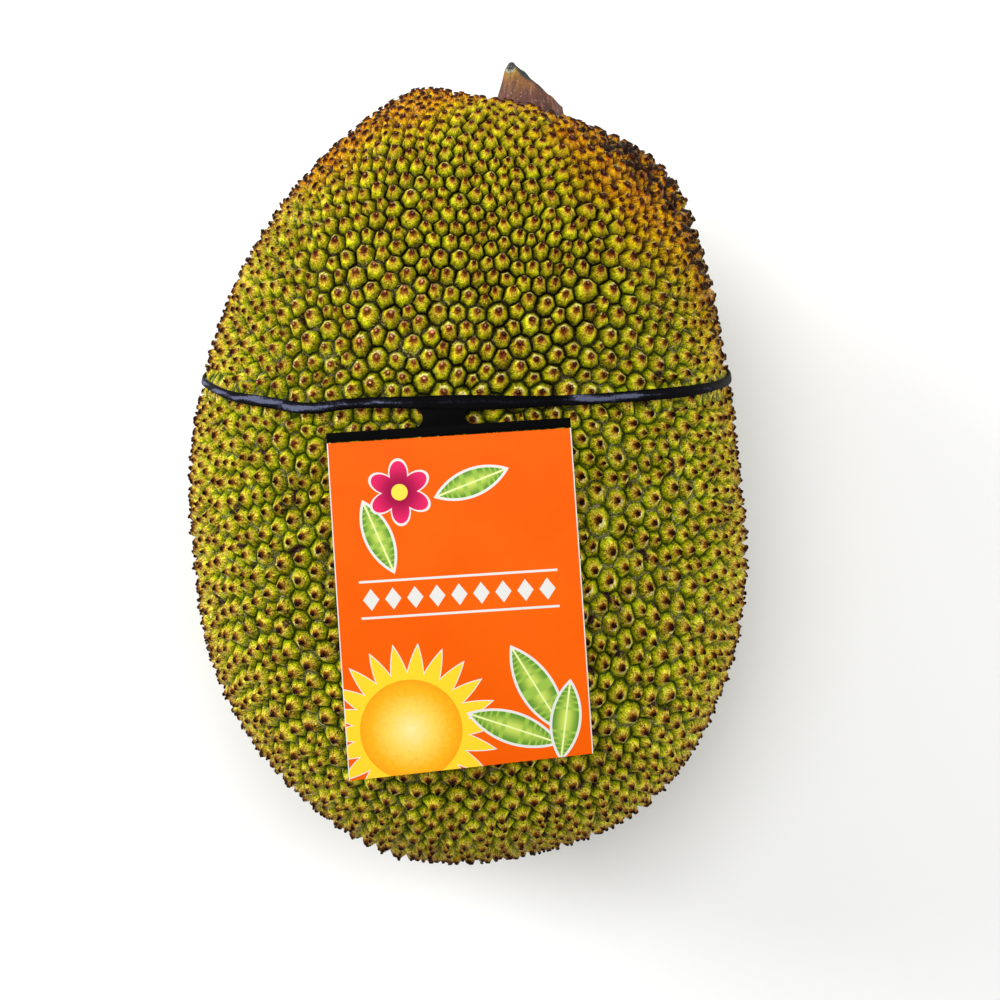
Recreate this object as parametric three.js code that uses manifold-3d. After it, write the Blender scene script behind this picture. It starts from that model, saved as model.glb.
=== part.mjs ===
// A whole jackfruit as picked, lying on its side, with its short cut stalk and a hang tag:
// a black rubber band round the fruit, moulded in one with a bar that carries a printed card.
// Millimetres, +Z up. The fruit's long axis lies along Y and its stalk end points to +Y.
// The origin is at the middle of the part's footprint, on the surface that the fruit rests on.

import * as THREE from 'three';
import { ConvexHull } from 'three/addons/math/ConvexHull.js';
import { mergeVertices } from 'three/addons/utils/BufferGeometryUtils.js';
import Module from 'manifold-3d';

const wasm = await Module();
wasm.setup();

// ---------------------------------------------------------------- driving dimensions, in mm

// The fruit's envelope passes through its spine tips and is measured from its middle.
const FRUIT_MIDDLE = new THREE.Vector3(-1.5, -1.6, 108.5);
// Reach of the envelope in the level plane, every 20 degrees from +X towards +Y.
const LEVEL_REACH = [
  126, 128, 143, 158, 165, 163, 147, 134, 126,
  126, 132, 149, 166, 181, 180, 175, 156, 138,
];
const TOP_REACH = 117.5;
const BASE_REACH = 117.2;
// Power of the envelope's upright sections: 2 is an ellipse, more is fuller at the shoulders.
const TOP_FULLNESS = 2.4;
const BASE_FULLNESS = 2.0;
// The crown lies nearer the stalk than the middle, and the resting spot nearer the blossom end.
const LEAN = 0.19;
// Swellings and hollows of the envelope: heading from +X and height angle in degrees, depth in mm,
// spread as an angle in radians.
const SWELLINGS = [
  { name: 'left shoulder', heading: 96, rise: 4, depth: 8, spread: 0.14 },
  { name: 'right shoulder', heading: 58, rise: 10, depth: 4, spread: 0.2 },
  { name: 'right flank', heading: 51, rise: 4, depth: 5, spread: 0.21 },
  { name: 'left flank', heading: 109, rise: 4, depth: 3.5, spread: 0.26 },
  { name: 'right side', heading: 15, rise: 4, depth: 1.6, spread: 0.18 },
  { name: 'stalk hollow', heading: 79, rise: 0, depth: -12, spread: 0.16 },
];

const SPINE_COUNT = 1580;
const SPINE_RISE = 7;
const SPINE_RISE_SPREAD = 1;
const SPINE_SCATTER = 0.45;
const RELAX_ROUNDS = 4;
const RELAX_PULL = 0.6;
// Spines are smaller on the crown's stalk end and larger on the far side.
const FINE_SIDE = new THREE.Vector3(0.05, 0.62, 0.78).normalize();
const FINE_BIAS = 0.13;
const RANDOM_SEED = 41;
const EDGE_TURNING_ROUNDS = 3;

// The stalk's foot is set in the fruit at a heading and a distance from the fruit's middle.
const STALK_HEADING = 78.8;
const STALK_FOOT = 142;
const STALK_LENGTH = 46.1;
const STALK_FOOT_RADIUS = 21.8;
const STALK_TOP_RADIUS = 10.5;
const STALK_RIDGES = 9;
const STALK_RIDGE_DEPTH = 0.5;
const STALK_SIDES = 36;
const STALK_RINGS = 5;
const STALK_TILT = 3;
// The slanting cut: a point that it passes through, and where its face looks, in degrees.
const STALK_CUT_POINT = new THREE.Vector3(25.7, 180.8, 107);
const STALK_CUT_HEADING = 47.9;
const STALK_CUT_RISE = 7;

// Clear space left between touching pieces.
const GAP = 0.35;
// The taut band presses the spines under it down.
const PRESS_DEPTH = 2;
const PRESS_SPREAD = 7;
const BAND_WIDTH = 5.5;
const BAND_THICKNESS = 1.5;
// The band's course: its place along Y at the fruit's middle height, and how that shifts with
// height above the middle, towards the blossom end on the crown and the stalk end underneath.
const BAND_Y = 39;
const BAND_SLOPE = -0.169;
const BAND_CURVE = 0.00044;
// Shallow waves in that course, by where they lie across the fruit.
const BAND_WAVES = [
  { middle: -118, shift: 4.5, spread: 15 },
  { middle: -66, shift: -2.8, spread: 15 },
  { middle: 88, shift: 2.6, spread: 42 },
];
const BAND_STEPS = 96;
const BAND_SEAT_ROUNDS = 8;
const LATHE_RADIUS = 100;
const SMALL_STEP = 0.02;

const CARD_WIDTH = 101.5;
const CARD_FOOT_WIDTH = 103.5;
const CARD_LEFT_HEIGHT = 142;
const CARD_RIGHT_HEIGHT = 137;
const CARD_THICKNESS = 0.8;
const CARD_TOP = new THREE.Vector2(-6.6, 11.5);
const CARD_TURN = 3.7;
const CARD_FALL = 3;
const CARD_BEND_RADIUS = 800;
const CARD_STEPS = 14;
// Spots across and down the card where its height over the spines is tried.
const CARD_TRIALS_ACROSS = 12;
const CARD_TRIALS_DOWN = 24;

const BAR_HEIGHT = 4;
const BAR_THICKNESS = 1.6;
const NECK_WIDTH = 18;
const NECK_X = -1.5;
const NECK_LENGTH = 14;
const NECK_FILLET = 3.4;
// The neck's upper end spreads into the band and follows the crown's curve.
const FLANGE_LENGTH = 6.5;
const FLANGE_WIDTH = 2.8;
const CROWN_RADIUS = 120;

// Search for the envelope along a ray: a reach outside any fruit, and halvings of it.
const FAR_OUT = 400;
const HALVINGS = 40;
// Vertices closer than this are one.
const MERGE_DISTANCE = 1e-4;
const ANGLE_TOLERANCE = 1e-6;

const LOOKS = {
  fruit: { color: 0x8f9434, roughness: 0.62, metalness: 0 },
  stalk: { color: 0x6e5138, roughness: 0.8, metalness: 0 },
  strap: { color: 0x1b1c20, roughness: 0.5, metalness: 0 },
  card: { color: 0xff6a13, roughness: 0.45, metalness: 0 },
};

// ---------------------------------------------------------------- the fruit's envelope

function unitVector(heading, rise) {
  const turn = THREE.MathUtils.degToRad(heading);
  const lift = THREE.MathUtils.degToRad(rise);
  return new THREE.Vector3(
    Math.cos(lift) * Math.cos(turn),
    Math.cos(lift) * Math.sin(turn),
    Math.sin(lift),
  );
}

// Reach of the level outline at an angle in radians, a smooth closed curve through LEVEL_REACH.
function levelReach(angle) {
  const count = LEVEL_REACH.length;
  const place = THREE.MathUtils.euclideanModulo(angle / (2 * Math.PI), 1) * count;
  const first = Math.floor(place);
  const t = place - first;
  const [a, b, c, d] = [-1, 0, 1, 2].map((step) => LEVEL_REACH[(first + step + count) % count]);
  return b + 0.5 * t * (c - a + t * (2 * a - 5 * b + 4 * c - d + t * (3 * (b - c) + d - a)));
}

// Place along Y of the band's course, at a place across the fruit and a height above its middle.
function bandCourse(x, height) {
  let y = BAND_Y + BAND_SLOPE * height + BAND_CURVE * height * height;
  for (const { middle, shift, spread } of BAND_WAVES) {
    y += shift * Math.exp(-(((x - middle) / spread) ** 2));
  }
  return y;
}

// How far the band presses the envelope in at a place, given from the fruit's middle in height.
function pressedBy(x, y, height) {
  const off = (y - bandCourse(x, height)) / PRESS_SPREAD;
  return PRESS_DEPTH * Math.exp(-off * off);
}

function envelopeReach(direction) {
  const upper = direction.z > 0;
  const power = upper ? TOP_FULLNESS : BASE_FULLNESS;
  const heading = Math.atan2(direction.y, direction.x);
  const level = Math.hypot(direction.x, direction.y) / levelReach(heading);
  const upright = Math.abs(direction.z) / (upper ? TOP_REACH : BASE_REACH);
  let reach = (level ** power + upright ** power) ** (-1 / power);
  for (const swelling of SWELLINGS) {
    const middle = unitVector(swelling.heading, swelling.rise);
    const apart = direction.distanceTo(middle) / swelling.spread;
    reach += swelling.depth * Math.exp(-apart * apart);
  }
  const height = reach * direction.z;
  const x = FRUIT_MIDDLE.x + reach * direction.x;
  const y = FRUIT_MIDDLE.y + reach * direction.y + LEAN * height;
  return reach - pressedBy(x, y, height);
}

// The point of the envelope, or of a skin that lies inset below it, in a direction.
function envelopePoint(direction, inset = 0) {
  const point = direction.clone().multiplyScalar(envelopeReach(direction) - inset);
  point.y += LEAN * point.z;
  return point.add(FRUIT_MIDDLE);
}

function directionTo(point) {
  const direction = point.clone().sub(FRUIT_MIDDLE);
  direction.y -= LEAN * direction.z;
  return direction.normalize();
}

function isInside(point) {
  const offset = point.clone().sub(FRUIT_MIDDLE);
  offset.y -= LEAN * offset.z;
  return offset.length() < envelopeReach(offset.clone().normalize());
}

// Distance from an inner point to the envelope along a ray.
function distanceOut(start, ray) {
  let near = 0;
  let far = FAR_OUT;
  for (let step = 0; step < HALVINGS; step += 1) {
    const half = (near + far) / 2;
    if (isInside(start.clone().addScaledVector(ray, half))) near = half;
    else far = half;
  }
  return near;
}

function crownHeight(x, y) {
  const start = new THREE.Vector3(x, y, FRUIT_MIDDLE.z);
  return FRUIT_MIDDLE.z + distanceOut(start, new THREE.Vector3(0, 0, 1));
}

// Outward direction square to the envelope, from two small steps along it.
function envelopeNormal(direction) {
  const side = new THREE.Vector3(0, 0, 1).cross(direction).normalize();
  const up = direction.clone().cross(side);
  const here = envelopePoint(direction);
  const [along, above] = [side, up].map((way) => {
    const nearby = direction.clone().addScaledVector(way, SMALL_STEP).normalize();
    return envelopePoint(nearby).sub(here);
  });
  return along.cross(above).normalize();
}

// ---------------------------------------------------------------- spines

function seededRandom(seed) {
  let state = seed;
  return () => {
    state = (state * 1664525 + 1013904223) % 4294967296;
    return state / 4294967296;
  };
}

// Even directions on a spiral, scattered, drawn towards FINE_SIDE and spread as on the fruit.
function spineDirections(random) {
  const golden = Math.PI * (3 - Math.sqrt(5));
  const pitch = Math.sqrt((4 * Math.PI) / SPINE_COUNT);
  const stretch = new THREE.Vector3(LEVEL_REACH[0], LEVEL_REACH[5], TOP_REACH);
  const gain = 1 / Math.sqrt(1 - FINE_BIAS * FINE_BIAS);
  const directions = [];
  for (let index = 0; index < SPINE_COUNT; index += 1) {
    const height = 1 - (2 * index + 1) / SPINE_COUNT;
    const ring = Math.sqrt(1 - height * height);
    const direction = new THREE.Vector3(
      ring * Math.cos(golden * index),
      ring * Math.sin(golden * index),
      height,
    );
    const scatter = new THREE.Vector3(random() - 0.5, random() - 0.5, random() - 0.5);
    direction.addScaledVector(scatter, 2 * SPINE_SCATTER * pitch).normalize();
    const facing = direction.dot(FINE_SIDE);
    direction.addScaledVector(FINE_SIDE, (gain - 1) * facing + gain * FINE_BIAS).normalize();
    directions.push(direction.multiply(stretch).normalize());
  }
  return directions;
}

// Joins points on the unit sphere into triangles: a map from each directed edge "i,j" to the
// third corner of the triangle on its left.
function triangulate(directions) {
  const hull = new ConvexHull().setFromPoints(directions);
  const numbers = new Map(directions.map((direction, index) => [direction, index]));
  const opposite = new Map();
  for (const face of hull.faces) {
    const corners = [0, 1, 2].map((turn) => numbers.get(face.getEdge(turn).head().point));
    corners.forEach((corner, turn) => {
      opposite.set(`${corner},${corners[(turn + 1) % 3]}`, corners[(turn + 2) % 3]);
    });
  }
  return opposite;
}

function cornerAngle(tip, left, right) {
  return left.clone().sub(tip).angleTo(right.clone().sub(tip));
}

// Turns an edge wherever the other diagonal gives rounder triangles on the fruit's own surface.
function roundTriangles(opposite, points) {
  for (const edge of [...opposite.keys()]) {
    if (!opposite.has(edge)) continue;
    const [a, b] = edge.split(',').map(Number);
    const c = opposite.get(edge);
    const d = opposite.get(`${b},${a}`);
    const first = cornerAngle(points[c], points[a], points[b]);
    const second = cornerAngle(points[d], points[a], points[b]);
    const isRound = first + second < Math.PI + ANGLE_TOLERANCE;
    if (isRound || opposite.has(`${c},${d}`)) continue;
    opposite.delete(`${a},${b}`);
    opposite.delete(`${b},${a}`);
    for (const [i, j, k] of [[a, d, c], [d, b, c]]) {
      opposite.set(`${i},${j}`, k);
      opposite.set(`${j},${k}`, i);
      opposite.set(`${k},${i}`, j);
    }
  }
}

function spineMesh(directions) {
  const opposite = triangulate(directions);
  const points = directions.map((direction) => envelopePoint(direction));
  for (let round = 0; round < EDGE_TURNING_ROUNDS; round += 1) roundTriangles(opposite, points);
  return { opposite, points };
}

// Moves each spine towards the middle of its neighbours, which evens out the scatter.
function relax(directions) {
  const { opposite, points } = spineMesh(directions);
  const sums = directions.map(() => new THREE.Vector3());
  const counts = directions.map(() => 0);
  for (const edge of opposite.keys()) {
    const [from, to] = edge.split(',').map(Number);
    sums[from].add(points[to]);
    counts[from] += 1;
  }
  return points.map((point, index) => {
    const middle = sums[index].divideScalar(counts[index]);
    return directionTo(point.clone().lerp(middle, RELAX_PULL));
  });
}

// A rind of pyramids: each spine's foot is the many-sided cell between its neighbours.
function rindGeometry() {
  const random = seededRandom(RANDOM_SEED);
  let directions = spineDirections(random);
  for (let round = 0; round < RELAX_ROUNDS; round += 1) directions = relax(directions);
  const { opposite, points } = spineMesh(directions);
  const vertices = directions.map((direction) => {
    return envelopePoint(direction, SPINE_RISE_SPREAD * random());
  });
  const valleys = new Map();
  const valley = (i, j, k) => {
    const key = [i, j, k].sort((left, right) => left - right).join();
    if (!valleys.has(key)) {
      const middle = points[i].clone().add(points[j]).add(points[k]).divideScalar(3);
      valleys.set(key, vertices.length);
      vertices.push(envelopePoint(directionTo(middle), SPINE_RISE));
    }
    return valleys.get(key);
  };
  const faces = [];
  for (const [edge, left] of opposite) {
    const [tip, other] = edge.split(',').map(Number);
    const right = opposite.get(`${other},${tip}`);
    faces.push(tip, valley(tip, right, other), valley(tip, other, left));
  }
  for (const vertex of vertices) vertex.z = Math.max(vertex.z, 0);
  const geometry = new THREE.BufferGeometry().setFromPoints(vertices);
  return geometry.setIndex(faces);
}

// ---------------------------------------------------------------- solids

function toSolid(geometry) {
  geometry.deleteAttribute('normal');
  geometry.deleteAttribute('uv');
  const merged = mergeVertices(geometry, MERGE_DISTANCE);
  return new wasm.Manifold(new wasm.Mesh({
    numProp: 3,
    vertProperties: new Float32Array(merged.attributes.position.array),
    triVerts: new Uint32Array(merged.index.array),
  }));
}

function toGeometry(solid) {
  const mesh = solid.getMesh();
  const geometry = new THREE.BufferGeometry();
  geometry.setAttribute('position', new THREE.BufferAttribute(mesh.vertProperties, 3));
  geometry.setIndex(new THREE.BufferAttribute(mesh.triVerts, 1));
  return geometry;
}

// Applies a move to every vertex of a geometry.
function moveVertices(geometry, move) {
  const position = geometry.attributes.position;
  for (let index = 0; index < position.count; index += 1) {
    const vertex = new THREE.Vector3().fromBufferAttribute(position, index);
    position.setXYZ(index, ...move(vertex).toArray());
  }
  return geometry;
}

// Drops a geometry's normals and texture marks and joins the vertices that they kept apart.
function cleaned(geometry) {
  geometry.deleteAttribute('normal');
  geometry.deleteAttribute('uv');
  return mergeVertices(geometry, MERGE_DISTANCE);
}

// The stalk stands along +Y from its foot, ridged like bark and narrower towards its top, which
// is cut on the slant. A clearance makes it larger all round.
function stalkSolid(clearance = 0) {
  const geometry = new THREE.CylinderGeometry(1, 1, 1, STALK_SIDES, STALK_RINGS);
  moveVertices(geometry, (vertex) => {
    const along = vertex.y + 0.5;
    const angle = Math.atan2(vertex.z, vertex.x);
    const ridge = STALK_RIDGE_DEPTH * Math.cos(STALK_RIDGES * angle);
    const radius = THREE.MathUtils.lerp(STALK_FOOT_RADIUS, STALK_TOP_RADIUS, along);
    const width = Math.hypot(vertex.x, vertex.z) * (radius + ridge + clearance);
    const y = along * STALK_LENGTH - (1 - along) * clearance;
    return new THREE.Vector3(width * Math.cos(angle), y, width * Math.sin(angle));
  });
  geometry.rotateZ(THREE.MathUtils.degToRad(-STALK_TILT));
  const foot = unitVector(STALK_HEADING, 0).multiplyScalar(STALK_FOOT).add(FRUIT_MIDDLE);
  geometry.translate(foot.x, foot.y, foot.z);
  const inward = unitVector(STALK_CUT_HEADING, STALK_CUT_RISE).negate();
  return toSolid(geometry).trimByPlane(inward.toArray(), inward.dot(STALK_CUT_POINT));
}

function fruitGeometry() {
  return toGeometry(toSolid(rindGeometry()).subtract(stalkSolid(GAP)));
}

// A spot of the band's course on the spine tips, at an angle round the fruit from the crown.
function bandSeat(angle) {
  const ray = new THREE.Vector3(Math.sin(angle), 0, Math.cos(angle));
  let seat = FRUIT_MIDDLE.clone().addScaledVector(ray, TOP_REACH);
  for (let round = 0; round < BAND_SEAT_ROUNDS; round += 1) {
    const y = bandCourse(seat.x, seat.z - FRUIT_MIDDLE.z);
    const start = new THREE.Vector3(FRUIT_MIDDLE.x, y, FRUIT_MIDDLE.z);
    seat = start.clone().addScaledVector(ray, distanceOut(start, ray));
  }
  return seat;
}

// The band is a flat ring laid round the spine tips.
function bandGeometry() {
  const half = BAND_WIDTH / 2;
  const corners = [
    [0, -half], [BAND_THICKNESS, -half], [BAND_THICKNESS, half], [0, half], [0, -half],
  ];
  const profile = corners.map(([out, side]) => new THREE.Vector2(LATHE_RADIUS + out, side));
  const ring = new THREE.LatheGeometry(profile, BAND_STEPS);
  return moveVertices(ring, (vertex) => {
    const angle = Math.atan2(vertex.x, vertex.z);
    const seat = bandSeat(angle);
    const along = bandSeat(angle + SMALL_STEP).sub(bandSeat(angle - SMALL_STEP));
    const normal = envelopeNormal(directionTo(seat));
    const across = normal.clone().cross(along).normalize();
    const out = Math.hypot(vertex.x, vertex.z) - LATHE_RADIUS;
    return seat.addScaledVector(normal, GAP + out).addScaledVector(across, vertex.y);
  });
}

// ---------------------------------------------------------------- the card's place

// Distance across and down the card of a place in its slightly uneven outline, given as shares
// of its width from its middle and of its height from its top edge.
function cardPlace(acrossShare, downShare) {
  const width = THREE.MathUtils.lerp(CARD_WIDTH, CARD_FOOT_WIDTH, downShare);
  const height = THREE.MathUtils.lerp(CARD_LEFT_HEIGHT, CARD_RIGHT_HEIGHT, acrossShare + 0.5);
  return [width * acrossShare, height * downShare];
}

// Drop of the card below its top edge, at a distance down the card.
function cardDrop(down) {
  const fall = down * Math.tan(THREE.MathUtils.degToRad(CARD_FALL));
  return fall + (down * down) / (2 * CARD_BEND_RADIUS);
}

function cardSpot(across, down) {
  const turn = THREE.MathUtils.degToRad(CARD_TURN);
  return new THREE.Vector2(
    CARD_TOP.x + across * Math.cos(turn) + down * Math.sin(turn),
    CARD_TOP.y + across * Math.sin(turn) - down * Math.cos(turn),
  );
}

// Height of the card's middle plane at its top edge, where its underside just clears the spines.
function cardTopHeight() {
  let height = 0;
  for (let column = 0; column <= CARD_TRIALS_ACROSS; column += 1) {
    for (let row = 0; row <= CARD_TRIALS_DOWN; row += 1) {
      const acrossShare = column / CARD_TRIALS_ACROSS - 0.5;
      const [across, down] = cardPlace(acrossShare, row / CARD_TRIALS_DOWN);
      const spot = cardSpot(across, down);
      height = Math.max(height, crownHeight(spot.x, spot.y) + cardDrop(down));
    }
  }
  return height + GAP + CARD_THICKNESS / 2;
}

const CARD_LEVEL = cardTopHeight();

function cardPoint(across, down, lift) {
  const spot = cardSpot(across, down);
  return new THREE.Vector3(spot.x, spot.y, CARD_LEVEL - cardDrop(Math.max(down, 0)) + lift);
}

function cardGeometry() {
  const sheet = new THREE.BoxGeometry(1, 1, CARD_THICKNESS, 1, CARD_STEPS, 1);
  return cleaned(moveVertices(sheet, ({ x, y, z }) => cardPoint(...cardPlace(x, 0.5 - y), z)));
}

// Flat outline of the bar along the card's top edge and of the neck that rises from it, with
// rounded inner corners. The neck's upper end spreads sideways into the band.
function hangerOutline(bottom, top, shoulder, end) {
  const half = CARD_WIDTH / 2;
  const left = NECK_X - NECK_WIDTH / 2;
  const right = NECK_X + NECK_WIDTH / 2;
  const outline = new THREE.Shape();
  outline.moveTo(-half, bottom);
  outline.lineTo(half, bottom);
  outline.lineTo(half, top);
  outline.lineTo(right + NECK_FILLET, top);
  outline.quadraticCurveTo(right, top, right, top + NECK_FILLET);
  outline.lineTo(right, shoulder - NECK_FILLET);
  outline.quadraticCurveTo(right, shoulder, right + NECK_FILLET, shoulder);
  outline.lineTo(right + FLANGE_LENGTH, shoulder);
  outline.lineTo(right + FLANGE_LENGTH, end);
  outline.lineTo(left - FLANGE_LENGTH, end);
  outline.lineTo(left - FLANGE_LENGTH, shoulder);
  outline.lineTo(left - NECK_FILLET, shoulder);
  outline.quadraticCurveTo(left, shoulder, left, shoulder - NECK_FILLET);
  outline.lineTo(left, top + NECK_FILLET);
  outline.quadraticCurveTo(left, top, left - NECK_FILLET, top);
  outline.lineTo(-half, top);
  return outline;
}

// The bar and the neck, sloped so that the neck's upper end lies in the band and along it.
function hangerGeometry() {
  const top = GAP + BAR_HEIGHT;
  const end = GAP + NECK_LENGTH;
  const shoulder = end - FLANGE_WIDTH;
  const outline = hangerOutline(GAP, top, shoulder, end);
  const plate = new THREE.ExtrudeGeometry(outline, {
    depth: BAR_THICKNESS,
    bevelEnabled: false,
    curveSegments: 5,
  });
  const rise = bandSeat(0).z + GAP + BAND_THICKNESS / 2 - CARD_LEVEL;
  const skew = Math.sin(THREE.MathUtils.degToRad(CARD_TURN));
  return moveVertices(plate, ({ x, y, z }) => {
    const upNeck = THREE.MathUtils.clamp((y - top) / (shoulder - top), 0, 1);
    const lift = upNeck * (rise - (x * x) / (2 * CROWN_RADIUS));
    const point = cardPoint(x, -y, z - BAR_THICKNESS / 2 + lift);
    point.y -= upNeck * x * skew;
    return point;
  });
}

function strapGeometry() {
  return toGeometry(toSolid(bandGeometry()).add(toSolid(hangerGeometry())));
}

// ---------------------------------------------------------------- the part

function namedMesh(name, geometry) {
  const mesh = new THREE.Mesh(geometry, new THREE.MeshStandardMaterial(LOOKS[name]));
  mesh.name = name;
  return mesh;
}

const part = new THREE.Group();
part.add(namedMesh('fruit', fruitGeometry()));
part.add(namedMesh('stalk', toGeometry(stalkSolid())));
part.add(namedMesh('strap', strapGeometry()));
part.add(namedMesh('card', cardGeometry()));

export default part;
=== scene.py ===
"""A whole jackfruit lying on its side: fine spined rind, cut stalk, black rubber band and card tag.

Metres, +Z up. The fruit's long axis lies along Y and its stalk end points to +Y.
"""

import logging
import math
from dataclasses import dataclass
from enum import Enum

import bmesh
import bpy
import numpy as np
from mathutils import Matrix, Vector


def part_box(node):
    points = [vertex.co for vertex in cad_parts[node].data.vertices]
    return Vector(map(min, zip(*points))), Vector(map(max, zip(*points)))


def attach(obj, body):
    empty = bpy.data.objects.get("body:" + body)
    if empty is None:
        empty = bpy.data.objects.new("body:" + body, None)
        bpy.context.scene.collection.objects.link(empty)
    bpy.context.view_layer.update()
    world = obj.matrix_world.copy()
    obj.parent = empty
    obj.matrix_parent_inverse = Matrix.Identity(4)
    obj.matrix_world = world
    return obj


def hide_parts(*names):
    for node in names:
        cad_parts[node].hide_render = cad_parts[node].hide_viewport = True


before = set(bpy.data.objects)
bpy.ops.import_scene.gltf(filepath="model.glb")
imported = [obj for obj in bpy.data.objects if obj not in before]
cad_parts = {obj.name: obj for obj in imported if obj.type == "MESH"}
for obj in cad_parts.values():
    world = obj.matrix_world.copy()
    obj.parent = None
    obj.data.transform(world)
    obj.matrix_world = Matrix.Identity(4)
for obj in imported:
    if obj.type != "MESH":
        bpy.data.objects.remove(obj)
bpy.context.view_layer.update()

LOG = logging.getLogger("jackfruit")
MM = 0.001
NUDGE = 1e-6
FRUIT_MIDDLE = (-0.0015, -0.0016, 0.1085)

Array = np.ndarray
BMesh = bmesh.types.BMesh
Mesh = bpy.types.Mesh
Material = bpy.types.Material
Pair = tuple[float, float]
Row = tuple[float, ...]
Spot = tuple[float, float, float]
Colour = tuple[float, float, float, float]


class Slot(Enum):
    """The record's material slots, by name."""

    RIND = "rind"
    BARK = "bark"
    RUBBER = "black_rubber"
    PRINT = "printed_card"


# ---- small helpers


def unit(vectors: Array | Spot) -> Array:
    """Scales each row to a length of one."""
    return vectors / np.linalg.norm(vectors, axis=-1, keepdims=True)


def dots(first: Array, second: Array) -> Array:
    """Gives the scalar product of each pair of rows."""
    return np.sum(first * second, axis=1)


def heading_vector(heading: float, rise: float) -> Array:
    """Gives the unit vector at a heading from +X and a height angle, both in degrees."""
    turn, lift = math.radians(heading), math.radians(rise)
    level = math.cos(lift)
    return np.array([level * math.cos(turn), level * math.sin(turn), math.sin(lift)])


def smooth_between(low: float, high: float, values: Array) -> Array:
    """Rises smoothly from 0 at low to 1 at high."""
    share = np.clip((values - low) / (high - low), 0, 1)
    return share * share * (3 - 2 * share)


def bell(apart: Array, spread: float, power: int = 2) -> Array:
    """Falls smoothly from 1 at no distance towards 0 beyond a spread."""
    return np.exp(-((apart / spread) ** power))


def shade(red: int, green: int, blue: int) -> Colour:
    """Turns a screen colour of 0 to 255 into the linear colour that a shader takes."""
    parts = [value / 255 for value in (red, green, blue)]
    linear = [p / 12.92 if p <= 0.04045 else ((p + 0.055) / 1.055) ** 2.4 for p in parts]
    return (*linear, 1.0)


def vert_places(bm: BMesh) -> Array:
    """Reads the vertices of a shape as rows of x, y, z."""
    return np.array([vert.co for vert in bm.verts])


def move_verts(bm: BMesh, places: Array) -> None:
    """Moves the vertices of a shape to new places."""
    for vert, place in zip(bm.verts, places):
        vert.co = place


def only(kind: type, items: list) -> list:
    """Picks the items of one kind."""
    return [item for item in items if isinstance(item, kind)]


def thicken(bm: BMesh, height: float) -> None:
    """Turns a flat sheet into a closed slab."""
    raised = bmesh.ops.extrude_face_region(bm, geom=list(bm.faces), use_keep_orig=True)["geom"]
    bmesh.ops.translate(bm, verts=only(bmesh.types.BMVert, raised), vec=(0, 0, height))
    bmesh.ops.recalc_face_normals(bm, faces=bm.faces)


def to_mesh(bm: BMesh, name: str, only_quads: bool = False) -> Mesh:
    """Turns a shape into a mesh, smooth-shaded all over or only on its four-sided faces."""
    for face in bm.faces:
        face.smooth = not only_quads or len(face.verts) == 4
    mesh = bpy.data.meshes.new(name)
    bm.to_mesh(mesh)
    bm.free()
    return mesh


def keep_sharp(mesh: Mesh, angle: float) -> None:
    """Keeps edges sharp where faces meet at more than an angle in degrees."""
    mesh.set_sharp_from_angle(angle=math.radians(angle))


def write_marks(mesh: Mesh, **marks: Array) -> None:
    """Stores named numbers for each vertex, for the material to read."""
    for name, values in marks.items():
        layer = mesh.attributes.new(name, "FLOAT", "POINT")
        layer.data.foreach_set("value", np.ascontiguousarray(values, dtype=np.float32))


def add_object(name: str, data: bpy.types.ID) -> bpy.types.Object:
    """Puts an object into the scene, at the origin."""
    thing = bpy.data.objects.new(name, data)
    bpy.context.scene.collection.objects.link(thing)
    return thing


def finish_piece(name: str, mesh: Mesh, material: Material, node: str | None) -> None:
    """Puts a mesh into the scene as a dressed piece of the fruit.

    Args:
        name: The piece's name.
        mesh: Its finished mesh, in place.
        material: Its finish.
        node: The CAD node that it stands for, if it stands for one.
    """
    mesh.materials.append(material)
    piece = add_object(name, mesh)
    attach(piece, "root")
    if node:
        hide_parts(node)
    mesh.calc_loop_triangles()
    LOG.info("%s: %d triangles", name, len(mesh.loop_triangles))


# ---- the fruit's envelope


@dataclass(frozen=True)
class Swelling:
    """A swelling or hollow of the envelope: its direction in degrees, height, and spread in radians."""

    heading: float
    rise: float
    height: float
    spread: float


@dataclass(frozen=True)
class Wave:
    """A shallow wave of the band's course, by its place across the fruit."""

    middle: float
    shift: float
    spread: float


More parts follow.
